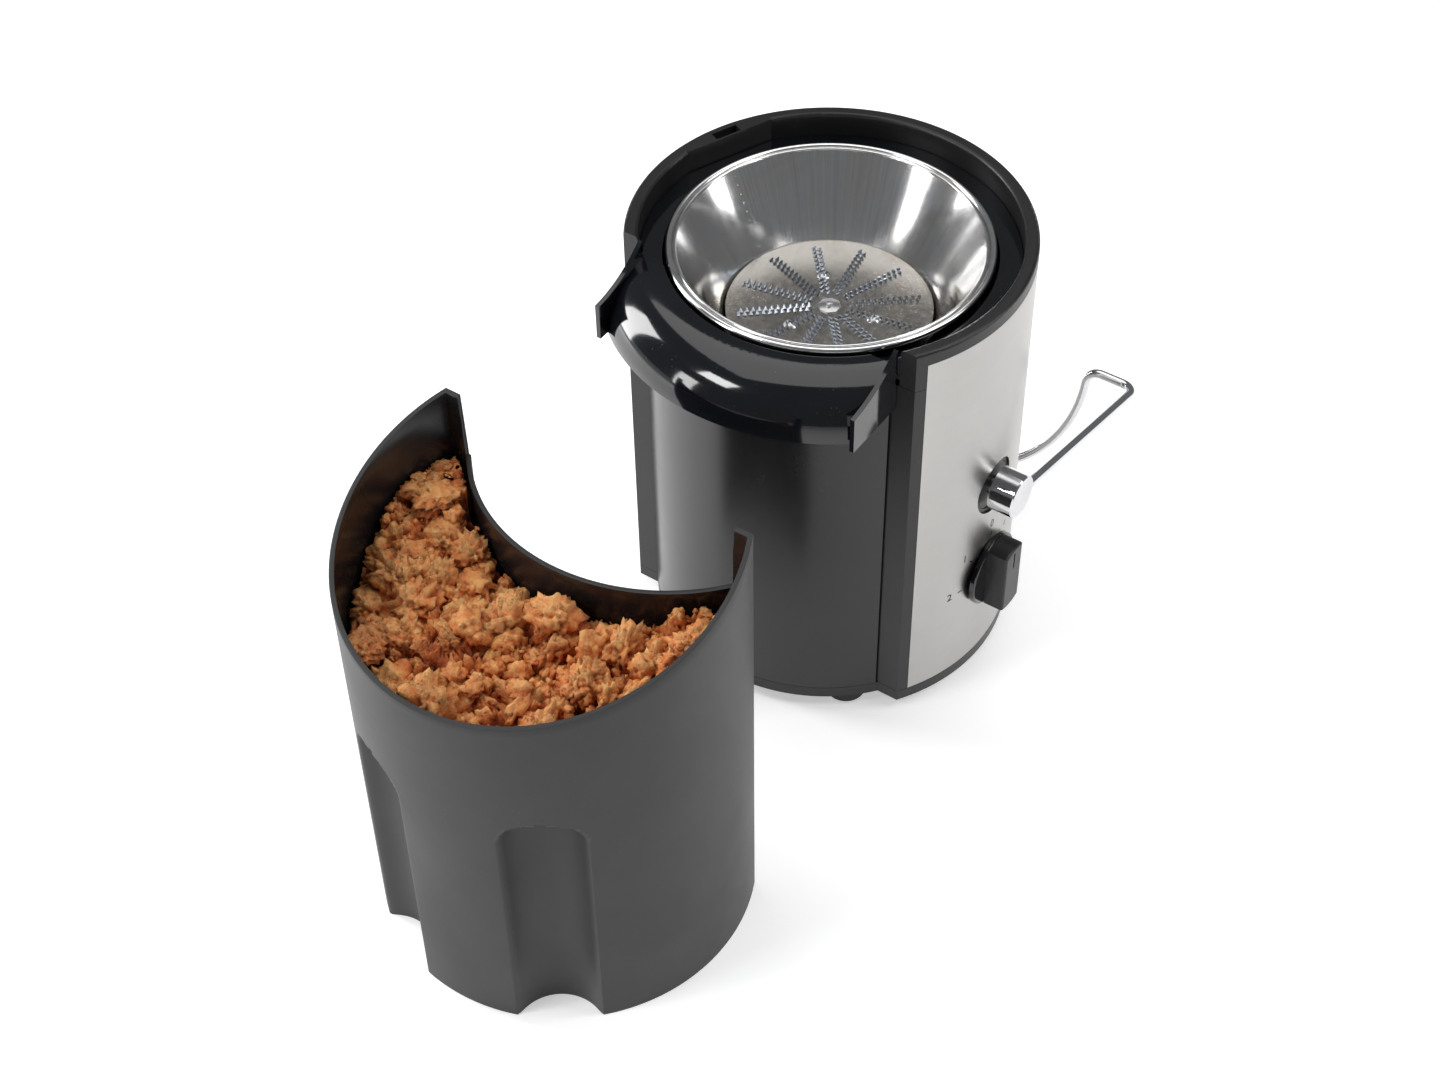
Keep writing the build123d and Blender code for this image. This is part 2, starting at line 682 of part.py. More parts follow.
# ---------------------------------------------------------------- locking bail
def locking_bail():
    """Chrome wire bail: straight legs, shoulders that press on the lid and a round bow between them."""
    leg = LEG_LENGTH
    corner = LEG_X - BEND_R
    turn = BOW_R + BEND_R
    dip = BEND_R
    flat = Plane(origin=(0, AXIS_Y, PIVOT_Z), x_dir=(1, 0, 0), z_dir=(0, 0, 1)).rotated((-DROOP, 0, 0))
    with BuildPart() as piece:
        with BuildLine(flat) as path:
            start = (LEG_X, BOSS_R - 3.5, 0)
            Line(start, (LEG_X, leg - BEND_R, 0))
            RadiusArc((LEG_X, leg - BEND_R, 0), (corner, leg, 0), -BEND_R)
            Line((corner, leg, 0), (turn, leg, 0))
            ThreePointArc((turn, leg, 0), (turn - dip * sin(radians(45)), leg, -dip * (1 - cos(radians(45)))),
                          (BOW_R, leg, -dip))
            low = -dip
            ThreePointArc((BOW_R, leg, low), (0, leg, low - BOW_R), (-BOW_R, leg, low))
            ThreePointArc((-BOW_R, leg, -dip),
                          (-turn + dip * sin(radians(45)), leg, -dip * (1 - cos(radians(45)))),
                          (-turn, leg, 0))
            Line((-turn, leg, 0), (-corner, leg, 0))
            RadiusArc((-corner, leg, 0), (-LEG_X, leg - BEND_R, 0), -BEND_R)
            Line((-LEG_X, leg - BEND_R, 0), (-LEG_X, BOSS_R - 3.5, 0))
        wire = path.wires()[0]
        with BuildSketch(Plane(origin=wire @ 0, z_dir=wire % 0)):
            Circle(ROD_R)
        sweep(path=wire, transition=Transition.ROUND)
    save(piece, "locking_bail")

    leg_end = (0, cos(radians(DROOP)), -sin(radians(DROOP)))
    leg_way = Plane(origin=(0, AXIS_Y, PIVOT_Z), x_dir=(1, 0, 0), z_dir=leg_end)
    for side, name in ((1, "bail_boss_right"), (-1, "bail_boss_left")):
        with BuildPart() as boss:
            with BuildSketch(facing(side * BOSS_START, PIVOT_Z)):
                Circle(BOSS_R)
            extrude(amount=side * (BOSS_END - BOSS_START))
            outer = boss.faces().sort_by(Axis.X)[-1 if side > 0 else 0]
            chamfer(outer.edges(), 0.5)
            with BuildSketch(facing(side * BOSS_START, PIVOT_Z)):
                Circle(PIN_R)
            extrude(amount=side * 6, mode=Mode.SUBTRACT)
            with BuildSketch(leg_way.offset(BOSS_R - 3.5)):
                with Locations((side * LEG_X, 0)):
                    Circle(ROD_R)
            extrude(amount=10, mode=Mode.SUBTRACT)
        save(boss, name)

    with BuildPart() as pins:
        for side in (1, -1):
            with BuildSketch(facing(side * 68, PIVOT_Z)):
                Circle(PIN_R)
            extrude(amount=side * (BOSS_START + 6 - 68))
    save(pins, "bail_pins")
    with BuildPart() as bushes:
        for side in (1, -1):
            with BuildSketch(facing(side * 70, PIVOT_Z)):
                Circle(PIN_R + 2.5)
                Circle(PIN_R + FIT, mode=Mode.SUBTRACT)
            extrude(amount=side * 13)
    save(bushes, "bail_bushes")


# ---------------------------------------------------------------- bowl and filter basket
def filter_bowl():
    """Glossy bowl round the basket, with a rim flange and the pulp chute over the dock."""
    inner = BOWL_R - BOWL_T
    with BuildPart() as piece:
        with BuildSketch(RADIAL):
            with BuildLine():
                Polyline((BOWL_R, BOWL_FLOOR), (BOWL_R, BOWL_LEDGE), (RING_IN_R - 0.4, BOWL_LEDGE),
                         (RING_IN_R - 0.4, BOWL_LEDGE + LEDGE_T), (inner, BOWL_LEDGE + LEDGE_T),
                         (inner, BOWL_FLOOR + BOWL_T), (23, BOWL_FLOOR + BOWL_T), (23, BOWL_FLOOR + 8),
                         (21, BOWL_FLOOR + 8), (21, BOWL_FLOOR), close=True)
            make_face()
        revolve(axis=AXIS)
        with BuildSketch(level(BOWL_LEDGE - 1)):
            add(plan_slice(FAR, -FAR, SHOULDER_Y, BOWL_R))
            with PolarLocations(RING_IN_R, 1, start_angle=SLOT_ANGLE):
                Rectangle(2 * (RING_IN_R - SLOT_LAND_IN + 0.6), SLOT_LAND_W + 1.4)
        extrude(amount=LEDGE_T + 2, mode=Mode.SUBTRACT)
        add(pulp_chute())
        with BuildSketch(level(BOWL_FLOOR - 8, 0, NOZZLE_Y)):
            Circle(NOZZLE_R)
        extrude(amount=9)
        with BuildSketch(level(BOWL_FLOOR - 9, 0, NOZZLE_Y)):
            Circle(NOZZLE_R - 2)
        extrude(amount=14, mode=Mode.SUBTRACT)
    save(piece, "filter_bowl")


def pulp_chute():
    """Crowned lip that carries pulp over the dock, between two upright cheeks."""
    root = BOWL_R - BOWL_T
    brow = root + CHUTE_FLAT
    with BuildPart() as chute:
        with BuildSketch(RADIAL):
            with BuildLine():
                Polyline((BOWL_R, CROWN_Z - CHEEK_T), (BOWL_R, BOWL_LEDGE), (root, BOWL_LEDGE),
                         (root, CROWN_Z), (brow, CROWN_Z))
                EllipticalCenterArc((brow, LIP_Z), LIP_R - brow, CROWN_Z - LIP_Z,
                                    start_angle=0, arc_size=90)
                Line((LIP_R, LIP_Z), (LIP_R - CHEEK_T, LIP_Z))
                EllipticalCenterArc((brow, LIP_Z), LIP_R - brow - CHEEK_T, CROWN_Z - LIP_Z - CHEEK_T,
                                    start_angle=0, arc_size=90)
                Line((brow, CROWN_Z - CHEEK_T), (BOWL_R, CROWN_Z - CHEEK_T))
            make_face()
        revolve(axis=AXIS)
        with BuildSketch(level(BOWL_FLOOR)):
            with Locations((0, SHOULDER_Y - 0.4 - FAR / 2)):
                Rectangle(2 * CHUTE_X, FAR)
        extrude(amount=FAR, mode=Mode.INTERSECT)
        for side in (1, -1):
            with BuildSketch(facing(side * CHUTE_X)):
                with BuildLine():
                    Polyline((SHOULDER_Y - 0.4, CHEEK_TOP_Z), (SHOULDER_Y - 0.4, LIP_Z), (CHEEK_Y, LIP_Z),
                             (CHEEK_Y, CHEEK_NOSE_Z))
                    ThreePointArc((CHEEK_Y, CHEEK_NOSE_Z), CHEEK_DIP, (SHOULDER_Y - 0.4, CHEEK_TOP_Z))
                make_face()
            extrude(amount=-side * CHEEK_T)
    return chute.part


def filter_basket():
    """Spinning basket: grater disc, screens' cone, rolled rim and the moulded base under them."""
    with BuildPart() as disc:
        with BuildSketch(level(DISC_Z)):
            Circle(DISC_R)
            with PolarLocations(DISC_SCREW_CIRCLE, 3, start_angle=DISC_SCREW_TURN):
                Circle(DISC_SCREW_HOLE, mode=Mode.SUBTRACT)
        extrude(amount=DISC_T)
    save(disc, "grater_disc")

    cone_top = RIM_R - 2 * RIM_WIRE - 0.05
    with BuildPart() as cone:
        with BuildSketch(RADIAL):
            with BuildLine():
                Polyline((DISC_R + 0.3, DISC_Z - 1), (cone_top - CONE_T, RIM_Z), (cone_top, RIM_Z),
                         (DISC_R + 0.3 + CONE_T, DISC_Z - 1), close=True)
            make_face()
        revolve(axis=AXIS)
    save(cone, "basket_cone")

    with BuildPart() as rim:
        with BuildSketch(RADIAL):
            with Locations((RIM_R - RIM_WIRE, RIM_Z)):
                Circle(RIM_WIRE)
        revolve(axis=AXIS)
    save(rim, "basket_rim")

    with BuildPart() as base:
        with BuildSketch(RADIAL):
            with BuildLine():
                Polyline((0, DISC_Z), (DISC_R, DISC_Z), (DISC_R, DISC_Z - 5), (18, DISC_Z - 5),
                         (18, 153), (0, 153), close=True)
            make_face()
        revolve(axis=AXIS)
        with BuildSketch(level(152)):
            Circle(10.3)
            with PolarLocations(10, 6):
                Circle(2.9)
        extrude(amount=12.3, mode=Mode.SUBTRACT)
        with BuildSketch(level(DISC_Z - 7)):
            with PolarLocations(DISC_SCREW_CIRCLE, 3, start_angle=DISC_SCREW_TURN):
                Circle(DISC_SCREW_HOLE, mode=Mode.ADD)
        extrude(amount=8, mode=Mode.SUBTRACT)
    save(base, "basket_base")

    with BuildPart() as screws:
        with BuildSketch(level(DISC_Z - 4)):
            with PolarLocations(DISC_SCREW_CIRCLE, 3, start_angle=DISC_SCREW_TURN):
                Circle(DISC_SCREW_HOLE)
        extrude(amount=4 + DISC_T)
        with BuildSketch(level(DISC_Z + DISC_T)):
            with PolarLocations(DISC_SCREW_CIRCLE, 3, start_angle=DISC_SCREW_TURN):
                Circle(3.1)
        extrude(amount=1.1)
    save(screws, "disc_screws")


# ---------------------------------------------------------------- pulp container
def tub_plan(outer, nest, horn_gap):
    """Crescent plan of the container, seen from the docked body axis."""
    with BuildSketch() as plan:
        with Locations((0, TUB_OFFSET)):
            Circle(outer)
        Circle(nest, mode=Mode.SUBTRACT)
        with Locations((0, SHOULDER_Y - 0.5 - horn_gap + FAR / 2)):
            Rectangle(FAR, FAR, mode=Mode.SUBTRACT)
    return plan.sketch


def finger_groove(angle, radius, depth, top):
    """Solid to cut for one finger groove: a round channel up the wall with a domed top."""
    centre = (TUB_R + radius - depth) * unit(angle - 90)
    place = Plane(origin=(centre.X, AXIS_Y - TUB_OUT + TUB_OFFSET + centre.Y, -1))
    with BuildPart() as groove:
        with BuildSketch(place):
            Circle(radius)
        extrude(amount=top + 1)
        fillet(groove.edges().filter_by(GeomType.CIRCLE).sort_by(Axis.Z)[-1], radius * 0.4)
    return groove.part


def rim_cutter():
    """Space above the container's slanted rim and above its low nest side."""
    outermost = TUB_OFFSET - TUB_R
    rise = (TUB_HORN_RIM - TUB_LOW_RIM) / (SHOULDER_Y - outermost)
    far_y = outermost - 20
    near_y = SHOULDER_Y + 20
    home = Plane(origin=(-FAR / 2, AXIS_Y - TUB_OUT, 0), x_dir=(0, 1, 0), z_dir=(1, 0, 0))
    with BuildPart() as cutter:
        with BuildSketch(home):
            with BuildLine():
                Polyline((far_y, TUB_LOW_RIM - 20 * rise), (near_y, TUB_HORN_RIM + 20 * rise),
                         (near_y, FAR), (far_y, FAR), close=True)
            make_face()
        extrude(amount=FAR)
        with BuildSketch(Plane(origin=(0, AXIS_Y - TUB_OUT, TUB_NEST_RIM))):
            Circle(TUB_NEST_R + TUB_T + 0.6)
            Rectangle(2 * HORN_X, FAR, mode=Mode.INTERSECT)
        extrude(amount=60)
        with BuildSketch(Plane(origin=(0, AXIS_Y - TUB_OUT, TUB_HORN_RIM - TAB_STEP))):
            with Locations((0, SHOULDER_Y)):
                Rectangle(2 * TAB_X, 2 * (TUB_T + 1))
        extrude(amount=60)
    return cutter.part


def tub_hollow():
    """Inside of the container, with the finger grooves left standing in it."""
    with BuildPart() as hollow:
        with BuildSketch(Plane(origin=(0, AXIS_Y - TUB_OUT, TUB_FLOOR))):
            add(tub_plan(TUB_R - TUB_T, TUB_NEST_R + TUB_T, TUB_T))
        extrude(amount=TUB_HORN_RIM + 4)
        for angle in GRIP_ANGLES:
            add(finger_groove(angle, GRIP_R + TUB_T, GRIP_DEPTH + TUB_T, GRIP_TOP + TUB_T),
                mode=Mode.SUBTRACT)
    return hollow.part


def pulp_container():
    """Crescent-shaped tub with two finger grooves, a slanted rim and horns at the dock corners."""
    home = Plane(origin=(0, AXIS_Y - TUB_OUT, 0))
    with BuildPart() as piece:
        with BuildSketch(home):
            add(tub_plan(TUB_R, TUB_NEST_R, 0))
        extrude(amount=TUB_HORN_RIM + 4)
        for angle in GRIP_ANGLES:
            add(finger_groove(angle, GRIP_R, GRIP_DEPTH, GRIP_TOP), mode=Mode.SUBTRACT)
        add(tub_hollow(), mode=Mode.SUBTRACT)
        add(rim_cutter(), mode=Mode.SUBTRACT)
    save(piece, "pulp_container")


for make in (base_plate, feet, base_screws, housing_frame, steel_wrap, dock_panel, pivot_cups, top_ring,
             interlock, motor_deck, shaft_seal, juice_spout, cord_gland, rotor, bearings, stator, brackets,
             brush_gear, motor_mounts, controls, locking_bail, filter_bowl, filter_basket, pulp_container):
    make()
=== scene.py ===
"""Centrifugal juicer with its lid off: finishes, made pieces, floor, lamps and camera.

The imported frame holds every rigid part. This file dresses those parts, and makes the moulded pulp container,
the fruit pulp in it, the grater's teeth, the beads and screw heads of the basket and the speed marks.
"""
import logging
import math
import random
from dataclasses import dataclass, field
from enum import Enum
from typing import Any, Optional, Sequence, Union

import bmesh
import bpy
from mathutils import Matrix, Vector, noise


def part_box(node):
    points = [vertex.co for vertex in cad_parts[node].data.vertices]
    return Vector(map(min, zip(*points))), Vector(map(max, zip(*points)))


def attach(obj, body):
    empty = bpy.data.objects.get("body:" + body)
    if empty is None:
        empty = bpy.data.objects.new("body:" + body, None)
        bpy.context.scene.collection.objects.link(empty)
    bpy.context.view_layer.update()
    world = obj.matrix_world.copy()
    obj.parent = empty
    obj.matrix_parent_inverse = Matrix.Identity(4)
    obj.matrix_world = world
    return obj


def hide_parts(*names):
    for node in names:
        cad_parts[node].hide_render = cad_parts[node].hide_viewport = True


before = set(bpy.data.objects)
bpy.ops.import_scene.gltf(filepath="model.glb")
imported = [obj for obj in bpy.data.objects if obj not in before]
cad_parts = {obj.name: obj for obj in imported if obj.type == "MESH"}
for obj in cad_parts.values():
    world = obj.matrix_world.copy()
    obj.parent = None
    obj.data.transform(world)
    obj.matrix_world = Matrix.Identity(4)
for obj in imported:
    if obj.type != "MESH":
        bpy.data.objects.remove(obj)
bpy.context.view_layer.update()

LOG = logging.getLogger("juicer")
MM = 0.001
Colour = tuple[float, float, float]
Place = tuple[float, float, float]
Operand = Union["Wire", float, Sequence[float]]
DUST_COLOUR: Colour = (0.55, 0.55, 0.56)
WELD = 1e-6  # points closer than this are one point


# ------------------------------------------------------------------ shader maths
class Wire:
    """A node's output, which takes part in sums, differences and products."""

    def __init__(self, shader: "Shader", socket: bpy.types.NodeSocket) -> None:
        """Keeps a socket.

        Args:
            shader: The shader that the socket belongs to.
            socket: The output.
        """
        self.shader = shader
        self.socket = socket

    def _maths(self, operation: str, first: Operand, second: Operand) -> "Wire":
        """Adds one Math node.

        Args:
            operation: What the node works out.
            first: Its first value.
            second: Its second value.

        Returns:
            The result.
        """
        return self.shader.node("ShaderNodeMath", {"operation": operation}, {0: first, 1: second})

    def __add__(self, other: Operand) -> "Wire":
        """Sum."""
        return self._maths("ADD", self, other)

    __radd__ = __add__

    def __sub__(self, other: Operand) -> "Wire":
        """Difference."""
        return self._maths("SUBTRACT", self, other)

    def __rsub__(self, other: Operand) -> "Wire":
        """Difference from a plain number."""
        return self._maths("SUBTRACT", other, self)

    def __mul__(self, other: Operand) -> "Wire":
        """Product."""
        return self._maths("MULTIPLY", self, other)

    __rmul__ = __mul__


class Shader:
    """The node tree of one material, round one Principled surface."""

    def __init__(self, name: str) -> None:
        """Starts the material.

        Args:
            name: The material's name, in plain words.
        """
        self.material = bpy.data.materials.new(name)
        self.material.use_nodes = True
        self.tree = self.material.node_tree
        self.tree.nodes.clear()
        self.surface = self.tree.nodes.new("ShaderNodeBsdfPrincipled")
        output = self.tree.nodes.new("ShaderNodeOutputMaterial")
        self.tree.links.new(self.surface.outputs[0], output.inputs["Surface"])
        self.place = self.node("ShaderNodeTexCoord", out="Object")

    def node(self, kind: str, settings: Optional[dict[str, Any]] = None,
             sockets: Optional[dict[Union[str, int], Operand]] = None, out: Union[str, int] = 0) -> Wire:
        """Adds one node.

        Args:
            kind: The node's type.
            settings: Its properties, set first; "stops" are a ramp's positions and colours.
            sockets: Values or links for its inputs, by name or number.
            out: The output to hand back.

        Returns:
            The chosen output.
        """
        made = self.tree.nodes.new(kind)
        for key, value in (settings or {}).items():
            if key == "stops":
                self._set_stops(made.color_ramp, value)
            else:
                setattr(made, key, value)
        for key, value in (sockets or {}).items():
            self.feed(made.inputs[key], value)
        return Wire(self, made.outputs[out])

    @staticmethod
    def _set_stops(ramp: bpy.types.ColorRamp, stops: Sequence[tuple[float, Colour]]) -> None:
        """Gives a ramp its stops.

        Args:
            ramp: The ramp.
            stops: Positions and colours, in rising order.
        """
        while len(ramp.elements) < len(stops):
            ramp.elements.new(0.5)
        for element, (position, colour) in zip(ramp.elements, stops):
            element.position = position
            element.color = (*colour, 1.0)

    def feed(self, socket: bpy.types.NodeSocket, value: Operand) -> None:
        """Links a wire to an input, or sets the input's own value.

        Args:
            socket: The input.
            value: A wire, a number or a colour.
        """
        if isinstance(value, Wire):
            self.tree.links.new(value.socket, socket)
        elif isinstance(value, (int, float)):
            socket.default_value = value
        elif len(value) == 3 and socket.type == "RGBA":
            socket.default_value = (*value, 1.0)
        else:
            socket.default_value = value

    def axes(self, vector: Optional[Wire] = None) -> tuple[Wire, Wire, Wire]:
        """Splits a vector into x, y and z.

        Args:
            vector: What to split, by default the place on the object.

        Returns:
            The three parts.
        """
        first = self.node("ShaderNodeSeparateXYZ", None, {0: vector or self.place})
        outputs = first.socket.node.outputs
        return first, Wire(self, outputs[1]), Wire(self, outputs[2])

    def joined(self, x: Operand, y: Operand, z: Operand) -> Wire:
        """Joins three values into a vector.

        Args:
            x: First part.
            y: Second part.
            z: Third part.

        Returns:
            The vector.
        """
        return self.node("ShaderNodeCombineXYZ", None, {0: x, 1: y, 2: z})

    def noise(self, scale: float, detail: float = 3.0, rough: float = 0.5, vector: Optional[Wire] = None,
              distortion: float = 0.0) -> Wire:
        """Cloudy noise from 0 to 1.

        Args:
            scale: Clouds to the metre.
            detail: Layers of finer noise.
            rough: How strong the finer layers are.
            vector: Where to sample, by default the place on the object.
            distortion: How far the clouds are stirred.

        Returns:
            The noise.
        """
        sockets = {"Vector": vector or self.place, "Scale": scale, "Detail": detail, "Roughness": rough,
                   "Distortion": distortion}
        return self.node("ShaderNodeTexNoise", None, sockets)

    def cells(self, scale: float, vector: Optional[Wire] = None, feature: str = "F1") -> Wire:
        """Distance inside a pattern of cells.

        Args:
            scale: Cells to the metre.
            vector: Where to sample, by default the place on the object.
            feature: Which distance is measured.

        Returns:
            The distance.
        """
        return self.node("ShaderNodeTexVoronoi", {"feature": feature},
                         {"Vector": vector or self.place, "Scale": scale}, out="Distance")

    def ramp(self, value: Wire, stops: Sequence[tuple[float, Colour]]) -> Wire:
        """Colours from a value.

        Args:
            value: What picks the colour.
            stops: Positions and colours.

        Returns:
            The colour.
        """
        return self.node("ShaderNodeValToRGB", {"stops": stops}, {0: value})

    def band(self, value: Wire, low: float, high: float, start: float = 0.0, end: float = 1.0) -> Wire:
        """Maps a value's stretch onto another and holds it there.

        Args:
            value: The value.
            low: Where its stretch starts.
            high: Where its stretch ends.
            start: What low becomes.
            end: What high becomes.

        Returns:
            The mapped value.
        """
        sockets = {"Value": value, "From Min": low, "From Max": high, "To Min": start, "To Max": end}
        return self.node("ShaderNodeMapRange", {"clamp": True}, sockets)

    def mix(self, factor: Operand, first: Operand, second: Operand) -> Wire:
        """Mixes two colours.

        Args:
            factor: Share of the second colour.
            first: First colour.
            second: Second colour.

        Returns:
            The mixed colour.
        """
        return self.node("ShaderNodeMix", {"data_type": "RGBA"}, {0: factor, 6: first, 7: second}, out=2)

    def bump(self, height: Wire, distance: float, strength: float = 1.0,
             under: Optional[Wire] = None) -> Wire:
        """A bumped normal.

        Args:
            height: The relief, from 0 to 1.
            distance: The relief's depth in metres.
            strength: How much of it shows.
            under: A coarser bumped normal that it lies on.

        Returns:
            The normal.
        """
        sockets: dict[str, Operand] = {"Height": height, "Distance": distance, "Strength": strength}
        if under is not None:
            sockets["Normal"] = under
        return self.node("ShaderNodeBump", None, sockets)

    def dress(self, **sockets: Operand) -> bpy.types.Material:
        """Feeds the surface's sockets.

        Args:
            sockets: Values by socket name, with an underscore for each space.

        Returns:
            The finished material.
        """
        for key, value in sockets.items():
            self.feed(self.surface.inputs[key.replace("_", " ")], value)
        return self.material


# ------------------------------------------------------------------ finishes
@dataclass(frozen=True)
class Moulding:
    """Moulded plastic or rubber: fine grain, drifting gloss and a little dust."""

    name: str
    colour: Colour
    rough: float
    drift: float = 0.06
    grain_scale: float = 2600.0
    grain_depth: float = 0.02 * MM
    coat: float = 0.0
    specular: float = 0.5
    wave_depth: float = 0.0
    dust: float = 0.0

    def make(self) -> bpy.types.Material:
        """Builds the material.

        Returns:
            The material.
        """
        shader = Shader(self.name)
        clouds = shader.noise(22.0, 4.0, 0.6)
        grain = shader.noise(self.grain_scale, 2.0, 0.5)
        light = tuple(min(1.0, part * 1.22 + 0.002) for part in self.colour)
        dark = tuple(part * 0.84 for part in self.colour)
        colour = shader.ramp(clouds * 0.75 + grain * 0.25, [(0.3, dark), (0.7, light)])
        if self.dust > 0:
            specks = shader.band(shader.cells(420.0), 0.05, 0.11, self.dust, 0.0)
            patches = shader.band(shader.noise(60.0), 0.52, 0.7)
            colour = shader.mix(specks * patches, colour, DUST_COLOUR)
        rough = shader.band(shader.noise(9.0, 5.0, 0.65, distortion=0.6), 0.3, 0.7,
                            max(0.02, self.rough - self.drift), self.rough + self.drift)
        normal = shader.bump(grain, self.grain_depth, 0.6)
        if self.wave_depth > 0:
            normal = shader.bump(shader.noise(14.0, 1.0), self.wave_depth, 0.5, normal)
        return shader.dress(Base_Color=colour, Roughness=rough, Normal=normal, Coat_Weight=self.coat,
                            Coat_Roughness=0.05, Specular_IOR_Level=self.specular)


class Grain(Enum):
    """Which way the lines of a metal finish run on a round part."""

    AROUND = "around"
    ALONG = "along"
    NONE = "none"


@dataclass(frozen=True)
class Steel:
    """Metal with rubbed lines, smears and a faint change of tint."""

    name: str
    colour: Colour
    rough: float
    grain: Grain = Grain.NONE
    drift: float = 0.05
    line_depth: float = 0.012 * MM
    tint: Colour = (0.62, 0.52, 0.40)
    tinted: float = 0.0
    lines: float = 900.0
    contrast: float = 0.10

    def make(self) -> bpy.types.Material:
        """Builds the material.

        Returns:
            The material.
        """
        shader = Shader(self.name)
        x, y, z = shader.axes()
        centre = drum_axis()
        sideways = shader.node("ShaderNodeMath", {"operation": "ARCTAN2"}, {0: y - centre.y, 1: x - centre.x})
        if self.grain is Grain.AROUND:
            field = shader.joined(sideways * 0.35, 0.0, z * (self.lines / 100.0))
        elif self.grain is Grain.ALONG:
            field = shader.joined(sideways * (self.lines / 160.0), z * 0.6, 0.0)
        else:
            field = shader.place
        fine = shader.noise(100.0 if self.grain is not Grain.NONE else self.lines, 5.0, 0.7, field)
        broad = shader.noise(14.0 if self.grain is not Grain.NONE else 60.0, 4.0, 0.6, field)
        smear = shader.noise(26.0, 5.0, 0.7, distortion=1.2)
        light = tuple(min(1.0, part * (1.0 + self.contrast)) for part in self.colour)
        dark = tuple(part * (1.0 - self.contrast) for part in self.colour)
        colour = shader.ramp(fine * 0.5 + broad * 0.5, [(0.3, dark), (0.72, light)])
        if self.tinted > 0:
            colour = shader.mix(shader.band(smear, 0.48, 0.72, 0.0, self.tinted), colour, self.tint)
        rough = shader.band(fine * 0.55 + smear * 0.45, 0.32, 0.68, max(0.03, self.rough - self.drift),
                            self.rough + self.drift)
        normal = shader.bump(fine, self.line_depth, 0.5)
        return shader.dress(Base_Color=colour, Roughness=rough, Metallic=1.0, Normal=normal)


@dataclass(frozen=True)
class Banded:
    """Stacked sheet or wound wire: fine bands up an upright part."""

    name: str
    colour: Colour
    gap_colour: Colour
    pitch: float
    rough: float = 0.4
    metallic: float = 1.0

    def make(self) -> bpy.types.Material:
        """Builds the material.

        Returns:
            The material.
        """
        shader = Shader(self.name)
        height = shader.axes()[2]
        wobble = shader.noise(80.0, 3.0)
        turn = shader.node("ShaderNodeMath", {"operation": "PINGPONG"},
                           {0: height + wobble * self.pitch * 0.5, 1: self.pitch * 0.5})
        crest = shader.band(turn, 0.0, self.pitch * 0.5)
        colour = shader.mix(shader.band(crest, 0.08, 0.4), self.gap_colour, self.colour)
        rough = shader.band(wobble, 0.3, 0.7, self.rough - 0.08, self.rough + 0.1)
        return shader.dress(Base_Color=colour, Roughness=rough, Metallic=self.metallic,
                            Normal=shader.bump(crest, self.pitch * 0.4, 0.8))


@dataclass(frozen=True)
class Board:
    """Lacquered circuit board with pale tracks."""

    name: str = "lacquered circuit board"

    def make(self) -> bpy.types.Material:
        """Builds the material.

        Returns:
            The material.
        """
        shader = Shader(self.name)
        tracks = shader.band(shader.cells(190.0, feature="DISTANCE_TO_EDGE"), 0.03, 0.06, 1.0, 0.0)
        colour = shader.mix(tracks, (0.02, 0.14, 0.06), (0.11, 0.32, 0.12))
        rough = shader.band(shader.noise(50.0), 0.3, 0.7, 0.3, 0.45)
        return shader.dress(Base_Color=colour, Roughness=rough, Normal=shader.bump(tracks, 0.05 * MM))


@dataclass(frozen=True)
class WetPulp:
    """Shredded carrot and fruit, damp and fibrous."""

    name: str
    shade: float = 1.0

    def make(self) -> bpy.types.Material:
        """Builds the material.

        Returns:
            The material.
        """
        shader = Shader(self.name)
        lumps = shader.noise(90.0, 5.0, 0.62)
        shreds = shader.noise(520.0, 6.0, 0.74, distortion=0.9)
        fibres = shader.cells(1100.0)
        # Painted light and shade: the stored relief value darkens the pulp in its crevices and lightens its
        # ridges and the tops of lumps; lumps and shreds add random tone.
        light_and_shade = shader.node("ShaderNodeAttribute", {"attribute_name": "light_and_shade"}, out="Fac")
        tone = light_and_shade * 0.50 + lumps * 0.16 + shreds * 0.34
        shade = self.shade
        colour = shader.ramp(tone, [(0.32, (0.13 * shade, 0.021 * shade, 0.006)),
                                    (0.44, (0.48 * shade, 0.105 * shade, 0.024)),
                                    (0.56, (0.86 * shade, 0.265 * shade, 0.066)),
                                    (0.74, (1.00 * shade, 0.530 * shade, 0.190))])
        red = shader.band(shader.noise(38.0, 3.0), 0.54, 0.70, 0.0, 0.45)
        colour = shader.mix(red, colour, (0.42, 0.070, 0.020))
        green = shader.band(shader.noise(130.0, 2.0), 0.74, 0.78, 0.0, 0.6)
        colour = shader.mix(green, colour, (0.10, 0.10, 0.015))
        wet = shader.band(shreds, 0.35, 0.65, 0.60, 0.30)
        coarse = shader.bump(lumps, 2.0 * MM, 0.8)
        middle = shader.bump(shreds, 1.1 * MM, 1.0, coarse)
        normal = shader.bump(fibres, 0.35 * MM, 0.7, middle)
        return shader.dress(Base_Color=colour, Roughness=wet, Normal=normal, Subsurface_Weight=0.08,
                            Subsurface_Radius=(1.0, 0.35, 0.12), Subsurface_Scale=1.2 * MM)


@dataclass(frozen=True)
class StudioFloor:
    """Plain pale floor."""

    name: str = "pale studio floor"
    glow: float = 0.50

    def make(self) -> bpy.types.Material:
        """Builds the material.

        Returns:
            The material.
        """
        shader = Shader(self.name)
        tone = shader.noise(3.0, 2.0)
        colour = shader.ramp(tone, [(0.3, (0.90, 0.90, 0.90)), (0.7, (0.92, 0.92, 0.92))])
        return shader.dress(Base_Color=colour, Roughness=0.7, Emission_Color=colour,
                            Emission_Strength=self.glow)


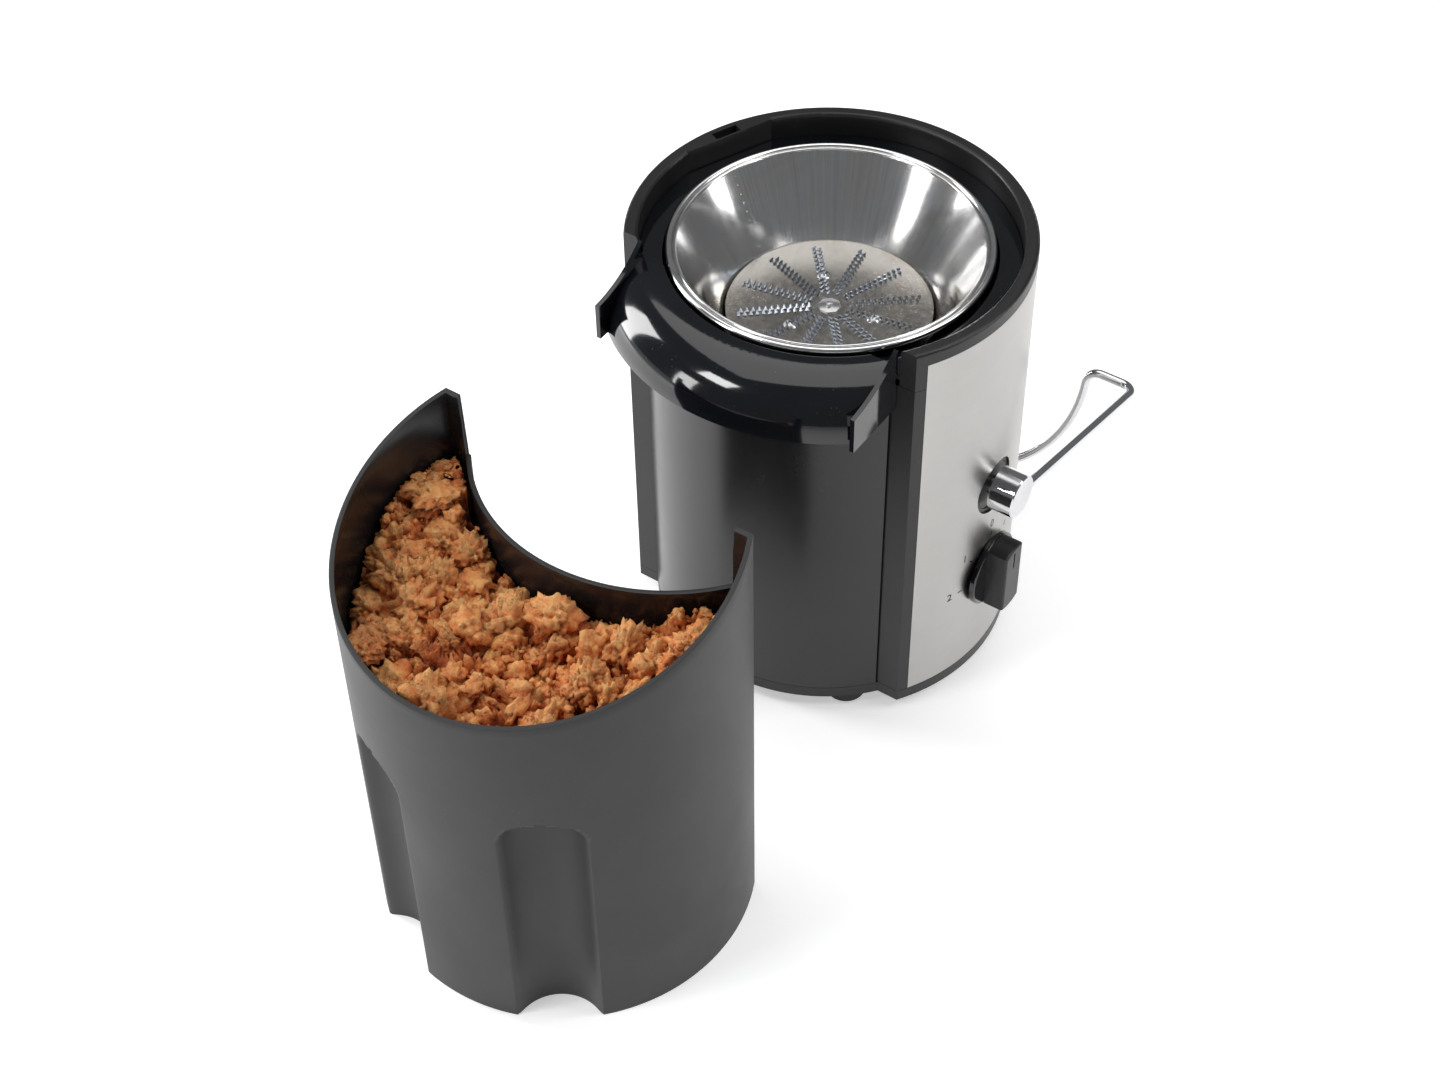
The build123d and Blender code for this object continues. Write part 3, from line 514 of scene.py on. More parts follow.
class Finish(Enum):
    """Every finish of the set."""

    SATIN_BLACK = Moulding("satin black moulding", (0.011, 0.011, 0.012), 0.36, grain_depth=0.03 * MM,
                           dust=0.2, specular=0.42)
    GLOSS_BLACK = Moulding("gloss black moulding", (0.0035, 0.004, 0.006), 0.09, drift=0.04, coat=0.35,
                           grain_depth=0.002 * MM, wave_depth=0.05 * MM, dust=0.25)
    DOCK_BLACK = Moulding("polished black panel", (0.005, 0.005, 0.006), 0.25, drift=0.05, specular=0.5,
                          grain_depth=0.004 * MM, wave_depth=0.05 * MM, dust=0.15)
    GREY_TUB = Moulding("dark grey satin moulding", (0.022, 0.022, 0.023), 0.46, drift=0.05,
                        grain_depth=0.025 * MM, wave_depth=0.10 * MM, dust=0.10, specular=0.42)
    # Painted shade: the inside is the same plastic as the outside, given a darker colour for the shade that
    # falls inside the tub.
    TUB_INSIDE = Moulding("shaded inside of the tub", (0.010, 0.010, 0.011), 0.26, drift=0.08,
                          grain_depth=0.01 * MM, wave_depth=0.10 * MM, dust=0.30)
    RUBBER = Moulding("black rubber", (0.018, 0.018, 0.018), 0.75, grain_scale=1500.0,
                      grain_depth=0.08 * MM)
    INNER = Moulding("grey inner moulding", (0.10, 0.10, 0.11), 0.5, grain_depth=0.05 * MM)
    CARBON = Moulding("pressed carbon", (0.03, 0.03, 0.032), 0.6, grain_depth=0.06 * MM)
    MARKS = Moulding("printed marks", (0.02, 0.02, 0.022), 0.5, drift=0.05)
    SHEET = Steel("brushed steel sheet", (0.46, 0.45, 0.435), 0.33, Grain.AROUND, drift=0.03,
                  line_depth=0.002 * MM, contrast=0.04)
    POLISHED = Steel("polished basket steel", (0.80, 0.80, 0.80), 0.14, Grain.ALONG, drift=0.06,
                     line_depth=0.006 * MM, tinted=0.30, lines=700.0, contrast=0.18)
    DISC = Steel("worn disc steel", (0.42, 0.40, 0.37), 0.24, Grain.NONE, drift=0.07, tinted=0.40,
                 tint=(0.36, 0.29, 0.22), lines=300.0, line_depth=0.002 * MM)
    TEETH = Steel("cut tooth steel", (0.34, 0.37, 0.42), 0.22, line_depth=0.004 * MM)
    SCREW = Steel("plated screw steel", (0.50, 0.50, 0.50), 0.25, line_depth=0.002 * MM)
    CHROME = Steel("chrome plate", (0.72, 0.72, 0.74), 0.07, drift=0.03, line_depth=0.001 * MM)
    MACHINED = Steel("machined steel", (0.55, 0.56, 0.58), 0.28, Grain.AROUND)
    BRONZE = Steel("sintered bronze", (0.60, 0.42, 0.22), 0.38, Grain.NONE)
    STACK = Banded("steel laminations", (0.34, 0.34, 0.36), (0.05, 0.05, 0.055), 1.0 * MM)
    WINDING = Banded("varnished winding", (0.72, 0.34, 0.14), (0.18, 0.06, 0.02), 0.9 * MM, 0.3)
    BOARD = Board()
    PULP = WetPulp("damp fruit pulp")
    CRUMBS = WetPulp("loose pulp crumbs", 1.02)
    FLOOR = StudioFloor()

    def material(self) -> bpy.types.Material:
        """Makes the finish's material the first time it is asked for.

        Returns:
            The material.
        """
        if self.value.name not in bpy.data.materials:
            return self.value.make()
        return bpy.data.materials[self.value.name]


# ------------------------------------------------------------------ places and meshes
def drum_axis() -> Vector:
    """Finds the drum's upright axis.

    Returns:
        The point where it meets the floor.
    """
    low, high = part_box("basket_rim")
    return Vector(((low[0] + high[0]) / 2, (low[1] + high[1]) / 2, 0.0))


def coat(node: str, finish: Finish) -> None:
    """Gives one frame part its finish.

    Args:
        node: The part's name.
        finish: What it is made of.
    """
    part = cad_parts[node]
    part.data.materials.clear()
    part.data.materials.append(finish.material())
    LOG.info("dressed %s in %s", node, finish.value.name)


def piece(mesh: bmesh.types.BMesh, name: str, finish: Finish, body: str,
          crease: float = 35.0, second: Optional[Finish] = None) -> bpy.types.Object:
    """Turns a bmesh into a named object that rides on a body.

    Args:
        mesh: The finished bmesh, in metres in the shared frame. It is freed.
        name: The object's name.
        finish: What it is made of.
        body: The body that carries it.
        crease: Edges sharper than this many degrees stay sharp.
        second: What the faces with material number 1 are made of.

    Returns:
        The new object.
    """
    data = bpy.data.meshes.new(name)
    mesh.to_mesh(data)
    mesh.free()
    data.shade_smooth()
    data.set_sharp_from_angle(angle=math.radians(crease))
    made = bpy.data.objects.new(name, data)
    bpy.context.collection.objects.link(made)
    data.materials.append(finish.material())
    if second is not None:
        data.materials.append(second.material())
    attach(made, body)
    LOG.info("made %s with %d faces", name, len(data.polygons))
    return made


def smooth_step(value: float, low: float, high: float) -> float:
    """A soft step.

    Args:
        value: Where on the step.
        low: Where it starts.
        high: Where it ends.

    Returns:
        0 below low, 1 above high and an eased value between.
    """
    part = min(1.0, max(0.0, (value - low) / (high - low)))
    return part * part * (3.0 - 2.0 * part)


def soft_least(first: float, second: float, blend: float) -> float:
    """The lower of two values with a rounded crossing.

    Args:
        first: One value.
        second: The other value.
        blend: Width of the rounding.

    Returns:
        The lower value, eased where the two are close.
    """
    part = min(1.0, max(0.0, 0.5 + 0.5 * (second - first) / blend))
    return second + (first - second) * part - blend * part * (1.0 - part)


def ring_bead(mesh: bmesh.types.BMesh, centre: Vector, radius: float, tube: float,
              steps: int = 128) -> None:
    """Adds a round bead, a small circle spun round an upright axis.

    Args:
        mesh: The bmesh to add it to.
        centre: Middle of the ring.
        radius: Ring radius to the middle of the bead.
        tube: Radius of the bead itself.
        steps: Steps round the ring.
    """
    place = Matrix.Translation(centre + Vector((radius, 0.0, 0.0))) @ Matrix.Rotation(math.pi / 2, 4, "X")
    circle = bmesh.ops.create_circle(mesh, cap_ends=False, radius=tube, segments=12, matrix=place)
    edges = list({edge for vert in circle["verts"] for edge in vert.link_edges})
    bmesh.ops.spin(mesh, geom=circle["verts"] + edges, cent=centre, axis=(0.0, 0.0, 1.0),
                   dvec=(0.0, 0.0, 0.0), angle=2.0 * math.pi, steps=steps, use_merge=True,
                   use_duplicate=False)
    bmesh.ops.remove_doubles(mesh, verts=mesh.verts, dist=WELD)


# ------------------------------------------------------------------ filter basket
@dataclass
class FilterBasket:
    """Spinning basket: dressed steel, grater teeth, a bright inner bead, screw heads and the hub pin."""

    axis: Vector = field(default_factory=drum_axis)
    top: float = field(default_factory=lambda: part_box("grater_disc")[1][2])
    rows: int = 12
    row_phase: float = 0.35
    teeth_in_row: int = 12
    row_gap: float = 2.3 * MM
    first_tooth: float = 8.5 * MM
    last_tooth: float = 38.0 * MM
    tooth_radius: float = 1.0 * MM
    tooth_height: float = 1.5 * MM
    tooth_lean: float = 34.0
    row_stagger: float = 1.2 * MM
    bead_inset: float = 0.9 * MM
    bead_drop: float = 1.2 * MM
    bead_tube: float = 0.75 * MM
    screw_count: int = 3
    screw_height: float = 1.3 * MM
    screw_circle: float = 20.5 * MM
    screw_turn: float = 9.5
    screw_radius: float = 3.1 * MM
    seam_angle: float = 163.0
    seam_welds: int = 9
    weld_radius: float = 0.55 * MM

    def build(self) -> None:
        """Makes and dresses the whole basket."""
        self.dress()
        self.teeth()
        self.bead()
        self.hub()
        self.screws()
        self.weld_spots()

    def dress(self) -> None:
        """Gives the frame's basket parts their finishes."""
        coat("basket_cone", Finish.POLISHED)
        coat("basket_rim", Finish.POLISHED)
        coat("grater_disc", Finish.DISC)
        coat("basket_base", Finish.SATIN_BLACK)
        coat("drive_coupling", Finish.SATIN_BLACK)

    def teeth(self) -> None:
        """Twelve double rows of pressed teeth, leaning the way they cut."""
        mesh = bmesh.new()
        for row in range(self.rows):
            turn = Matrix.Rotation(2.0 * math.pi * (row + self.row_phase) / self.rows, 4, "Z")
            for index in range(self.teeth_in_row):
                part = index / (self.teeth_in_row - 1)
                out = self.first_tooth + part * (self.last_tooth - self.first_tooth)
                for side in (-0.5, 0.5):
                    shift = out + (side + 0.5) * self.row_stagger
                    place = (Matrix.Translation(self.axis + Vector((0.0, 0.0, self.top))) @ turn
                             @ Matrix.Translation((shift, side * self.row_gap, self.tooth_height * 0.42))
                             @ Matrix.Rotation(math.radians(self.tooth_lean), 4, "X"))
                    bmesh.ops.create_cone(mesh, cap_ends=True, segments=6, radius1=self.tooth_radius,
                                          radius2=self.tooth_radius * 0.22, depth=self.tooth_height * 1.25,
                                          matrix=place)
        piece(mesh, "grater_teeth", Finish.TEETH, "basket", 25.0)

    def bead(self) -> None:
        """Bright inner bead that makes the rim a double ring."""
        rim_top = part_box("basket_rim")[1][2]
        cone_low, cone_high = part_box("basket_cone")
        mesh = bmesh.new()
        rim_radius = (cone_high[0] - cone_low[0]) / 2
        centre = self.axis + Vector((0.0, 0.0, rim_top - self.bead_drop))
        ring_bead(mesh, centre, rim_radius - self.bead_inset, self.bead_tube)
        piece(mesh, "rim_inner_bead", Finish.POLISHED, "basket", 60.0)

    def hub(self) -> None:
        """Square pin and its small plate at the middle of the disc."""
        mesh = bmesh.new()
        centre = self.axis + Vector((0.0, 0.0, self.top))
        plate = Matrix.Translation(centre + Vector((0.0, 0.0, 0.3 * MM))) @ Matrix.Rotation(0.4, 4, "Z")
        bmesh.ops.create_cone(mesh, cap_ends=True, segments=8, radius1=5.2 * MM, radius2=5.0 * MM,
                              depth=0.6 * MM, matrix=plate)
        pin = Matrix.Translation(centre + Vector((0.0, 0.0, 1.2 * MM))) @ Matrix.Rotation(0.2, 4, "Z")
        bmesh.ops.create_cone(mesh, cap_ends=True, segments=4, radius1=2.0 * MM, radius2=1.7 * MM,
                              depth=1.8 * MM, matrix=pin)
        bmesh.ops.bevel(mesh, geom=mesh.edges[:], offset=0.15 * MM, affect="EDGES", segments=2, profile=0.5,
                        material=-1)
        piece(mesh, "hub_pin", Finish.SCREW, "basket", 30.0)

    def screws(self) -> None:
        """Cross-recess heads that stand for the frame's plain ones."""
        mesh = bmesh.new()
        for index in range(self.screw_count):
            angle = math.radians(self.screw_turn + 360.0 / self.screw_count * index)
            away = Vector((math.cos(angle), math.sin(angle), 0.0)) * self.screw_circle
            seat = self.axis + away + Vector((0.0, 0.0, self.top))
            cross_head(mesh, seat, self.screw_radius, self.screw_height, angle)
        made = piece(mesh, "disc_screw_heads", Finish.SCREW, "basket", 30.0)
        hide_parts("disc_screws")

    def weld_spots(self) -> None:
        """Row of small weld dimples down the seam of the cone."""
        low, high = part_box("basket_cone")
        wide = (high[0] - low[0]) / 2 - 0.6 * MM
        narrow = (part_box("grater_disc")[1][0] - self.axis.x) + 0.3 * MM
        mesh = bmesh.new()
        angle = math.radians(self.seam_angle)
        for index in range(self.seam_welds):
            part = 0.12 + 0.8 * index / (self.seam_welds - 1)
            radius = narrow + part * (wide - narrow) - 0.05 * MM
            height = low[2] + 1.0 * MM + part * (high[2] - low[2] - 1.0 * MM)
            centre = self.axis + Vector((math.cos(angle) * radius, math.sin(angle) * radius, height))
            bmesh.ops.create_uvsphere(mesh, u_segments=10, v_segments=6, radius=self.weld_radius,
                                      matrix=Matrix.Translation(centre))
        piece(mesh, "seam_welds", Finish.DISC, "basket", 60.0)


def slice_upright(mesh: bmesh.types.BMesh, normal: Vector, offset: float) -> None:
    """Cuts new edges into a mesh along an upright plane.

    Args:
        mesh: The bmesh to cut.
        normal: Which way the plane faces.
        offset: How far it stands from the middle.
    """
    geometry = mesh.verts[:] + mesh.edges[:] + mesh.faces[:]
    bmesh.ops.bisect_plane(mesh, geom=geometry, dist=1e-7, plane_co=normal * offset, plane_no=normal)


def cross_head(mesh: bmesh.types.BMesh, seat: Vector, radius: float, height: float, turn: float) -> None:
    """Adds a low domed screw head with a cross recess.

    Args:
        mesh: The bmesh to add it to.
        seat: Middle of the head's underside.
        radius: Head radius.
        height: Head height.
        turn: How the cross is turned, in radians.
    """
    head = bmesh.new()
    bmesh.ops.create_circle(head, cap_ends=True, radius=radius, segments=32)
    bmesh.ops.inset_region(head, faces=head.faces[:], thickness=radius * 0.28, depth=0.0,
                           use_even_offset=True)
    arm = radius * 0.13
    reach = radius * 0.56
    across = (Vector((1.0, 0.0, 0.0)), Vector((0.0, 1.0, 0.0)))
    for normal in across:
        for side in (-arm, arm):
            slice_upright(head, normal, side)
    for side in (-reach, reach):
        for normal in across:
            slice_upright(head, normal, side)
    for vert in head.verts:
        out = vert.co.length / radius
        vert.co.z = height * (1.0 - 0.55 * out ** 3) * (1.0 if out < 0.99 else 0.35)
    recess = []
    for face in head.faces:
        middle = face.calc_center_median()
        if min(abs(middle.x), abs(middle.y)) < arm and max(abs(middle.x), abs(middle.y)) < reach:
            recess.append(face)
    sunk = bmesh.ops.extrude_face_region(head, geom=recess)
    moved = [item for item in sunk["geom"] if isinstance(item, bmesh.types.BMVert)]
    bmesh.ops.translate(head, verts=moved, vec=(0.0, 0.0, -height * 0.7))
    bmesh.ops.delete(head, geom=recess, context="FACES_ONLY")
    rim = [edge for edge in head.edges if edge.is_boundary]
    skirt = bmesh.ops.extrude_edge_only(head, edges=rim)
    for vert in [item for item in skirt["geom"] if isinstance(item, bmesh.types.BMVert)]:
        vert.co.z = -0.1 * MM
    bmesh.ops.rotate(head, verts=head.verts, cent=(0.0, 0.0, 0.0), matrix=Matrix.Rotation(turn, 3, "Z"))
    bmesh.ops.translate(head, verts=head.verts, vec=seat)
    holder = bpy.data.meshes.new("head")
    head.to_mesh(holder)
    head.free()
    mesh.from_mesh(holder)
    bpy.data.meshes.remove(holder)


# ------------------------------------------------------------------ pulp container
@dataclass
class PulpTub:
    """Crescent tub: outer wall with two soft finger grooves, flat horns and a side that hugs the drum."""

    wall: float = 2.0 * MM
    floor: float = 3.0 * MM
    radius: float = 80.0 * MM
    nest_radius: float = 80.0 * MM
    nest_offset: float = 84.5 * MM
    flat_offset: float = 35.0 * MM
    low_rim: float = 179.0 * MM
    horn_rim: float = 211.4 * MM
    nest_rim: float = 180.2 * MM
    tab_x: float = 64.6 * MM
    tab_step: float = 10.0 * MM
    groove_angles: tuple[float, float] = (34.0, -23.0)
    groove_radius: float = 19.0 * MM
    groove_depth: float = 12.0 * MM
    groove_top: float = 127.0 * MM
    groove_arch: float = 13.0 * MM
    lip: float = 4.0 * MM
    edge_round: float = 0.45 * MM
    nest_steps: int = 48
    crown_rows: int = 6
    rows_end: float = 158.0 * MM
    fine_rows: tuple[float, float] = (111.0 * MM, 131.0 * MM)
    centre: Vector = field(init=False)

    def __post_init__(self) -> None:
        """Finds the tub's place in the frame."""
        low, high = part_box("pulp_container")
        self.centre = Vector(((low[0] + high[0]) / 2, low[1] + self.radius, 0.0))

    def build(self) -> None:
        """Makes the tub and hides the frame's plain one."""
        mesh = bmesh.new()
        self.wall_grid(mesh, 0.0)
        inner = set(self.wall_grid(mesh, self.wall))
        for face in mesh.faces:
            # Faces of the inner wall take the darker moulding, which is painted shade.
            face.material_index = 1 if all(vert in inner for vert in face.verts) else 0
        bmesh.ops.remove_doubles(mesh, verts=mesh.verts, dist=WELD)
        self.close(mesh)
        bmesh.ops.recalc_face_normals(mesh, faces=mesh.faces)
        sharp = [edge for edge in mesh.edges if edge.is_manifold and edge.calc_face_angle(0.0) > 0.9]
        bmesh.ops.bevel(mesh, geom=sharp, offset=self.edge_round, affect="EDGES", segments=2, profile=0.5,
                        material=-1, clamp_overlap=True)
        made = piece(mesh, "pulp_tub", Finish.GREY_TUB, "container", 50.0, Finish.TUB_INSIDE)
        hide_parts("pulp_container")

    def plan(self, inset: float) -> list[tuple[float, float, float]]:
        """Samples of the tub's outline.

        Args:
            inset: How far inside the outer surface, in metres.

        Returns:
            For each sample its x and y from the tub's centre, and its angle on the outer wall or nan.
        """
        horn_y = self.flat_offset - inset
        radius = self.radius - inset
        limit = math.pi - math.acos(horn_y / radius)
        samples: list[tuple[float, float, float]] = []
        for angle in self.outer_angles(limit):
            samples.append((radius * math.sin(angle), -radius * math.cos(angle), angle))
        corner = radius * math.sin(limit)
        nest = self.nest_radius + inset
        turn = math.acos((self.nest_offset - horn_y) / nest)
        inner_x = nest * math.sin(turn)
        ledge = [corner - (corner - self.tab_x) * part for part in (0.33, 0.66, 0.97)]
        ledge += [self.tab_x - 0.15 * MM, (self.tab_x + inner_x) / 2, inner_x + 0.15 * MM]
        flat = sorted(ledge, reverse=True)
        samples += [(x, horn_y, math.nan) for x in flat]
        for step in range(self.nest_steps + 1):
            angle = turn * (1.0 - 2.0 * step / self.nest_steps)
            samples.append((nest * math.sin(angle), self.nest_offset - nest * math.cos(angle), math.nan))
        samples += [(-x, horn_y, math.nan) for x in reversed(flat)]
        return samples

    def outer_angles(self, limit: float) -> list[float]:
        """Spaces the outer wall's samples, closer together round the grooves.

        Args:
            limit: Angle of each horn, in radians.

        Returns:
            The samples' angles in rising order.
        """
        angles = [-limit]
        while angles[-1] < limit - 1e-4:
            here = angles[-1]
            near = any(abs(here - math.radians(at)) < math.radians(17.0) for at in self.groove_angles)
            angles.append(min(limit, here + math.radians(0.75 if near else 2.2)))
        return angles

    def levels(self) -> list[float]:
        """Spaces the rows of samples under the rim's own rows, closer together round the arches.

        Returns:
            Their heights in rising order.
        """
        steps = [0.0, 1.0 * MM]
        while steps[-1] < self.rows_end:
            here = steps[-1]
            fine = self.fine_rows[0] < here < self.fine_rows[1]
            steps.append(here + (0.8 * MM if fine else 3.6 * MM))
        return steps

    def rim_height(self, x: float, y: float, angle: float) -> float:
        """Height of the top edge over a sample of the plan.

        Args:
            x: Place across the tub, from its centre.
            y: Place along the tub, from its centre.
            angle: Angle on the outer wall, or nan elsewhere.

        Returns:
            The height above the floor.
        """
        if math.isnan(angle) and abs(x) < self.tab_x:
            on_step = y > self.flat_offset - self.wall - 0.01 * MM and abs(x) > self.tab_x - 0.5 * MM
            return self.horn_rim - self.tab_step if on_step else self.nest_rim
        rise = (self.horn_rim - self.low_rim) / (self.radius + self.flat_offset)
        return self.low_rim + rise * (y + self.radius)

    def groove(self, angle: float, height: float, inset: float) -> float:
        """Radius of the outer wall's surface at an angle and height, grooves taken out.

        Args:
            angle: Angle from the outermost direction, in radians.
            height: Height above the floor.
            inset: How far inside the outer surface.

        Returns:
            The radius from the tub's centre.
        """
        plain = self.radius - inset
        surface = plain
        top = self.groove_top + inset
        if height > top + 1.6 * MM:
            return surface
        reach = self.radius + self.groove_radius - self.groove_depth
        arch = max(0.0, min(1.0, (height - (top - self.groove_arch)) / self.groove_arch))
        narrow = math.sqrt(1.0 - arch * arch)
        cutter = self.groove_radius + inset
        half = math.sqrt(cutter ** 2 - (reach - surface) ** 2)
        fade = 1.0 - smooth_step(height, top - 0.6 * MM, top + 1.6 * MM)
        for centre in self.groove_angles:
            apart = angle - math.radians(centre)
            if abs(apart) > 0.5:
                continue
            side = abs(reach * math.sin(apart))
            shut = half * (1.0 - narrow)
            bed = reach * math.cos(apart)
            if side + shut < cutter:
                aside = side + shut * smooth_step(side, 0.0, half)
                bed -= math.sqrt(cutter ** 2 - aside ** 2)
            else:
                bed += (side + shut - cutter) * 2.0
            cut = soft_least(plain, bed, self.lip)
            surface = surface + (min(cut, surface) - surface) * fade
        return surface

    def wall_grid(self, mesh: bmesh.types.BMesh, inset: float) -> list[bmesh.types.BMVert]:
        """Adds one side of the wall as a grid bent round the plan.

        Args:
            mesh: The bmesh to add it to.
            inset: How far inside the outer surface.

        Returns:
            The grid's vertices.
        """
        samples = self.plan(inset)
        heights = self.levels()
        columns, rows = len(samples), len(heights) + self.crown_rows
        made = bmesh.ops.create_grid(mesh, x_segments=columns, y_segments=rows - 1, size=0.5)
        for vert in made["verts"]:
            column = round((vert.co.x + 0.5) * columns) % columns
            row = round((vert.co.y + 0.5) * (rows - 1))
            x, y, angle = samples[column]
            top = self.rim_height(x, y, angle)
            if row < len(heights):
                height = max(heights[row], self.floor if inset > 0 else 0.0)
            else:
                height = heights[-1] + (top - heights[-1]) * (row - len(heights) + 1) / self.crown_rows
            if not math.isnan(angle):
                radius = self.groove(angle, height, inset)
                x, y = radius * math.sin(angle), -radius * math.cos(angle)
            vert.co = self.centre + Vector((x, y, height))
        return made["verts"]

    def close(self, mesh: bmesh.types.BMesh) -> None:
        """Joins both walls along the rim, and fills the floor inside and underneath.

        Args:
            mesh: The bmesh that holds both walls.
        """
        open_edges = [edge for edge in mesh.edges if edge.is_boundary]
        upper = [edge for edge in open_edges if edge.verts[0].co.z > 0.1 and edge.verts[1].co.z > 0.1]
        bmesh.ops.bridge_loops(mesh, edges=upper)
        for low, high in ((-1.0, 0.5 * MM), (0.5 * MM, 10.0 * MM)):
            ring = [edge for edge in mesh.edges if edge.is_boundary
                    and all(low < vert.co.z < high for vert in edge.verts)]
            bmesh.ops.triangle_fill(mesh, use_beauty=True, use_dissolve=False, edges=ring)


# ------------------------------------------------------------------ fruit pulp
@dataclass
class PulpHeap:
    """Damp heap of shredded fruit lying in the tub, with lumps and crumbs on it."""

    tub: PulpTub
    seed: int = 7
    cells: int = 230
    bottom: float = 134.0 * MM
    lip_reach: float = 101.0 * MM
    lip_height: float = 179.2 * MM
    clearance: float = 1.0 * MM
    boulders: int = 38
    lumps: int = 250
    crumbs: int = 900
    mean_height: float = 160.0 * MM
    left_rise: float = 20.0 * MM
    right_rise: float = 15.0 * MM
    front_drop: float = 14.0 * MM
    draws: random.Random = field(init=False)
    centre: Vector = field(init=False)

    def __post_init__(self) -> None:
        """Starts the draws and finds the heap's place."""
        self.draws = random.Random(self.seed)
        self.centre = self.tub.centre

    def build(self) -> None:
        """Makes the heap and its crumbs."""
        noise.seed_set(self.seed)
        self.heap()
        self.scatter("pulp_lumps", self.boulders, (5.0 * MM, 10.0 * MM), 4, Finish.PULP)
        self.scatter("pulp_clods", self.lumps, (2.0 * MM, 5.2 * MM), 3, Finish.CRUMBS)
        self.scatter("pulp_crumbs", self.crumbs, (0.7 * MM, 1.9 * MM), 2, Finish.CRUMBS)

    def inside(self, x: float, y: float, margin: float) -> bool:
        """Whether a place lies in the tub's hollow.

        Args:
            x: Place across the tub, from its centre.
            y: Place along the tub, from its centre.
            margin: Room to spare from every wall.

        Returns:
            True inside.
        """
        tub = self.tub
        near_wall = math.hypot(x, y) > tub.radius - tub.wall - margin
        near_nest = math.hypot(x, y - tub.nest_offset) < tub.nest_radius + tub.wall + margin
        near_flat = y > tub.flat_offset - tub.wall - margin
        return not (near_wall or near_nest or near_flat)

    def under_lip(self, x: float, y: float, height: float) -> float:
        """Lowers a height that the bowl's lip or cheeks would meet when the tub is docked.

        Args:
            x: Place across the tub, from its centre.
            y: Place along the tub, from its centre.
            height: The height without the lip.

        Returns:
            The height that clears it.
        """
        beside_nest = math.hypot(x, y - self.tub.nest_offset) < self.lip_reach
        beside_cheek = abs(x) > 57.0 * MM and y > 0.0
        if not (beside_nest or beside_cheek):
            return height
        return min(self.lip_height, soft_least(height, self.lip_height, 4.0 * MM))

    def surface(self, x: float, y: float) -> float:
        """Height of the heap.

        Args:
            x: Place across the tub, from its centre.
            y: Place along the tub, from its centre.

        Returns:
            The height above the floor.
        """
        left = smooth_step(-x, 22.0 * MM, 70.0 * MM) * smooth_step(y, -35.0 * MM, 20.0 * MM)
        right = smooth_step(x, 25.0 * MM, 70.0 * MM) * smooth_step(y, -45.0 * MM, 10.0 * MM)
        hollow = smooth_step(-x, 30.0 * MM, 75.0 * MM) * (1.0 - smooth_step(y, -50.0 * MM, -5.0 * MM))
        base = (self.mean_height + self.left_rise * left + self.right_rise * right
                - self.front_drop * hollow)
        place = Vector((x, y, 0.0))
        broad = noise.noise(place * 38.0 + Vector((3.1, 0.4, 1.0))) * 9.0 * MM
        return base + broad + (self.relief(x, y) - 0.5) * 19.0 * MM

    def relief(self, x: float, y: float) -> float:
        """How far a place stands out of the heap's crevices.

        Args:
            x: Place across the tub, from its centre.
            y: Place along the tub, from its centre.

        Returns:
            A value from 0 to 1.
        """
        place = Vector((x, y, 0.0))
        ridged = 0.5 - abs(noise.noise(place * 95.0 + Vector((7.0, 2.0, 5.0))))
        fine = noise.turbulence(place * 230.0 + Vector((1.0, 9.0, 3.0)), 4, True)
        return min(1.0, max(0.0, 0.1 + ridged * 0.9 + (fine - 0.3) * 0.55))

    def heap(self) -> None:
        """Grid over the crescent, lifted into a heap and closed underneath; each point keeps its relief for
        the pulp's painted shade in the crevices.
        """
        mesh = bmesh.new()
        size = self.tub.radius
        bmesh.ops.create_grid(mesh, x_segments=self.cells, y_segments=self.cells, size=size)
        margin = self.clearance + 0.8 * MM
        outside = [face for face in mesh.faces
                   if not all(self.inside(vert.co.x, vert.co.y, margin) for vert in face.verts)]
        bmesh.ops.delete(mesh, geom=outside, context="FACES")
        light_and_shade = mesh.verts.layers.float.new("light_and_shade")
        for vert in mesh.verts:
            x, y = vert.co.x, vert.co.y
            height = self.surface(x, y)
            # Painted shade: the relief is kept per point so the pulp colour is darker in crevices and lighter
            # on ridges.
            vert[light_and_shade] = self.relief(x, y)
            shake = noise.noise_vector(Vector((x, y, height)) * 140.0) * 2.2 * MM
            if self.inside(x + shake.x, y + shake.y, self.clearance):
                x, y = x + shake.x, y + shake.y
            vert.co = self.centre + Vector((x, y, self.under_lip(x, y, height)))
        rim = [edge for edge in mesh.edges if edge.is_boundary]
        skirt = bmesh.ops.extrude_edge_only(mesh, edges=rim)
        lowered = [item for item in skirt["geom"] if isinstance(item, bmesh.types.BMVert)]
        for vert in lowered:
            vert.co.z = self.bottom
        ring = [edge for edge in mesh.edges if edge.is_boundary]
        bmesh.ops.triangle_fill(mesh, use_beauty=True, use_dissolve=False, edges=ring)
        bmesh.ops.recalc_face_normals(mesh, faces=mesh.faces)
        piece(mesh, "pulp_heap", Finish.PULP, "container", 180.0)

    def scatter(self, name: str, count: int, sizes: tuple[float, float], fineness: int,
                finish: Finish) -> None:
        """Strews ragged lumps over the heap as one piece.

        Args:
            name: The piece's name.
            count: How many lumps.
            sizes: Smallest and largest radius.
            fineness: Subdivisions of each lump.
            finish: Its finish.
        """
        mesh = bmesh.new()
        mesh.verts.layers.float.new("light_and_shade")
        made = 0
        while made < count:
            x = self.draws.uniform(-self.tub.radius, self.tub.radius)
            y = self.draws.uniform(-self.tub.radius, self.tub.flat_offset)
            size = self.draws.uniform(*sizes)
            if not self.inside(x, y, self.clearance + size * 0.75):
                continue
            made += 1
            height = self.surface(x, y) + size * self.draws.uniform(-0.35, 0.35)
            self.lump(mesh, Vector((x, y, height)), size, fineness)
        piece(mesh, name, finish, "container", 180.0)

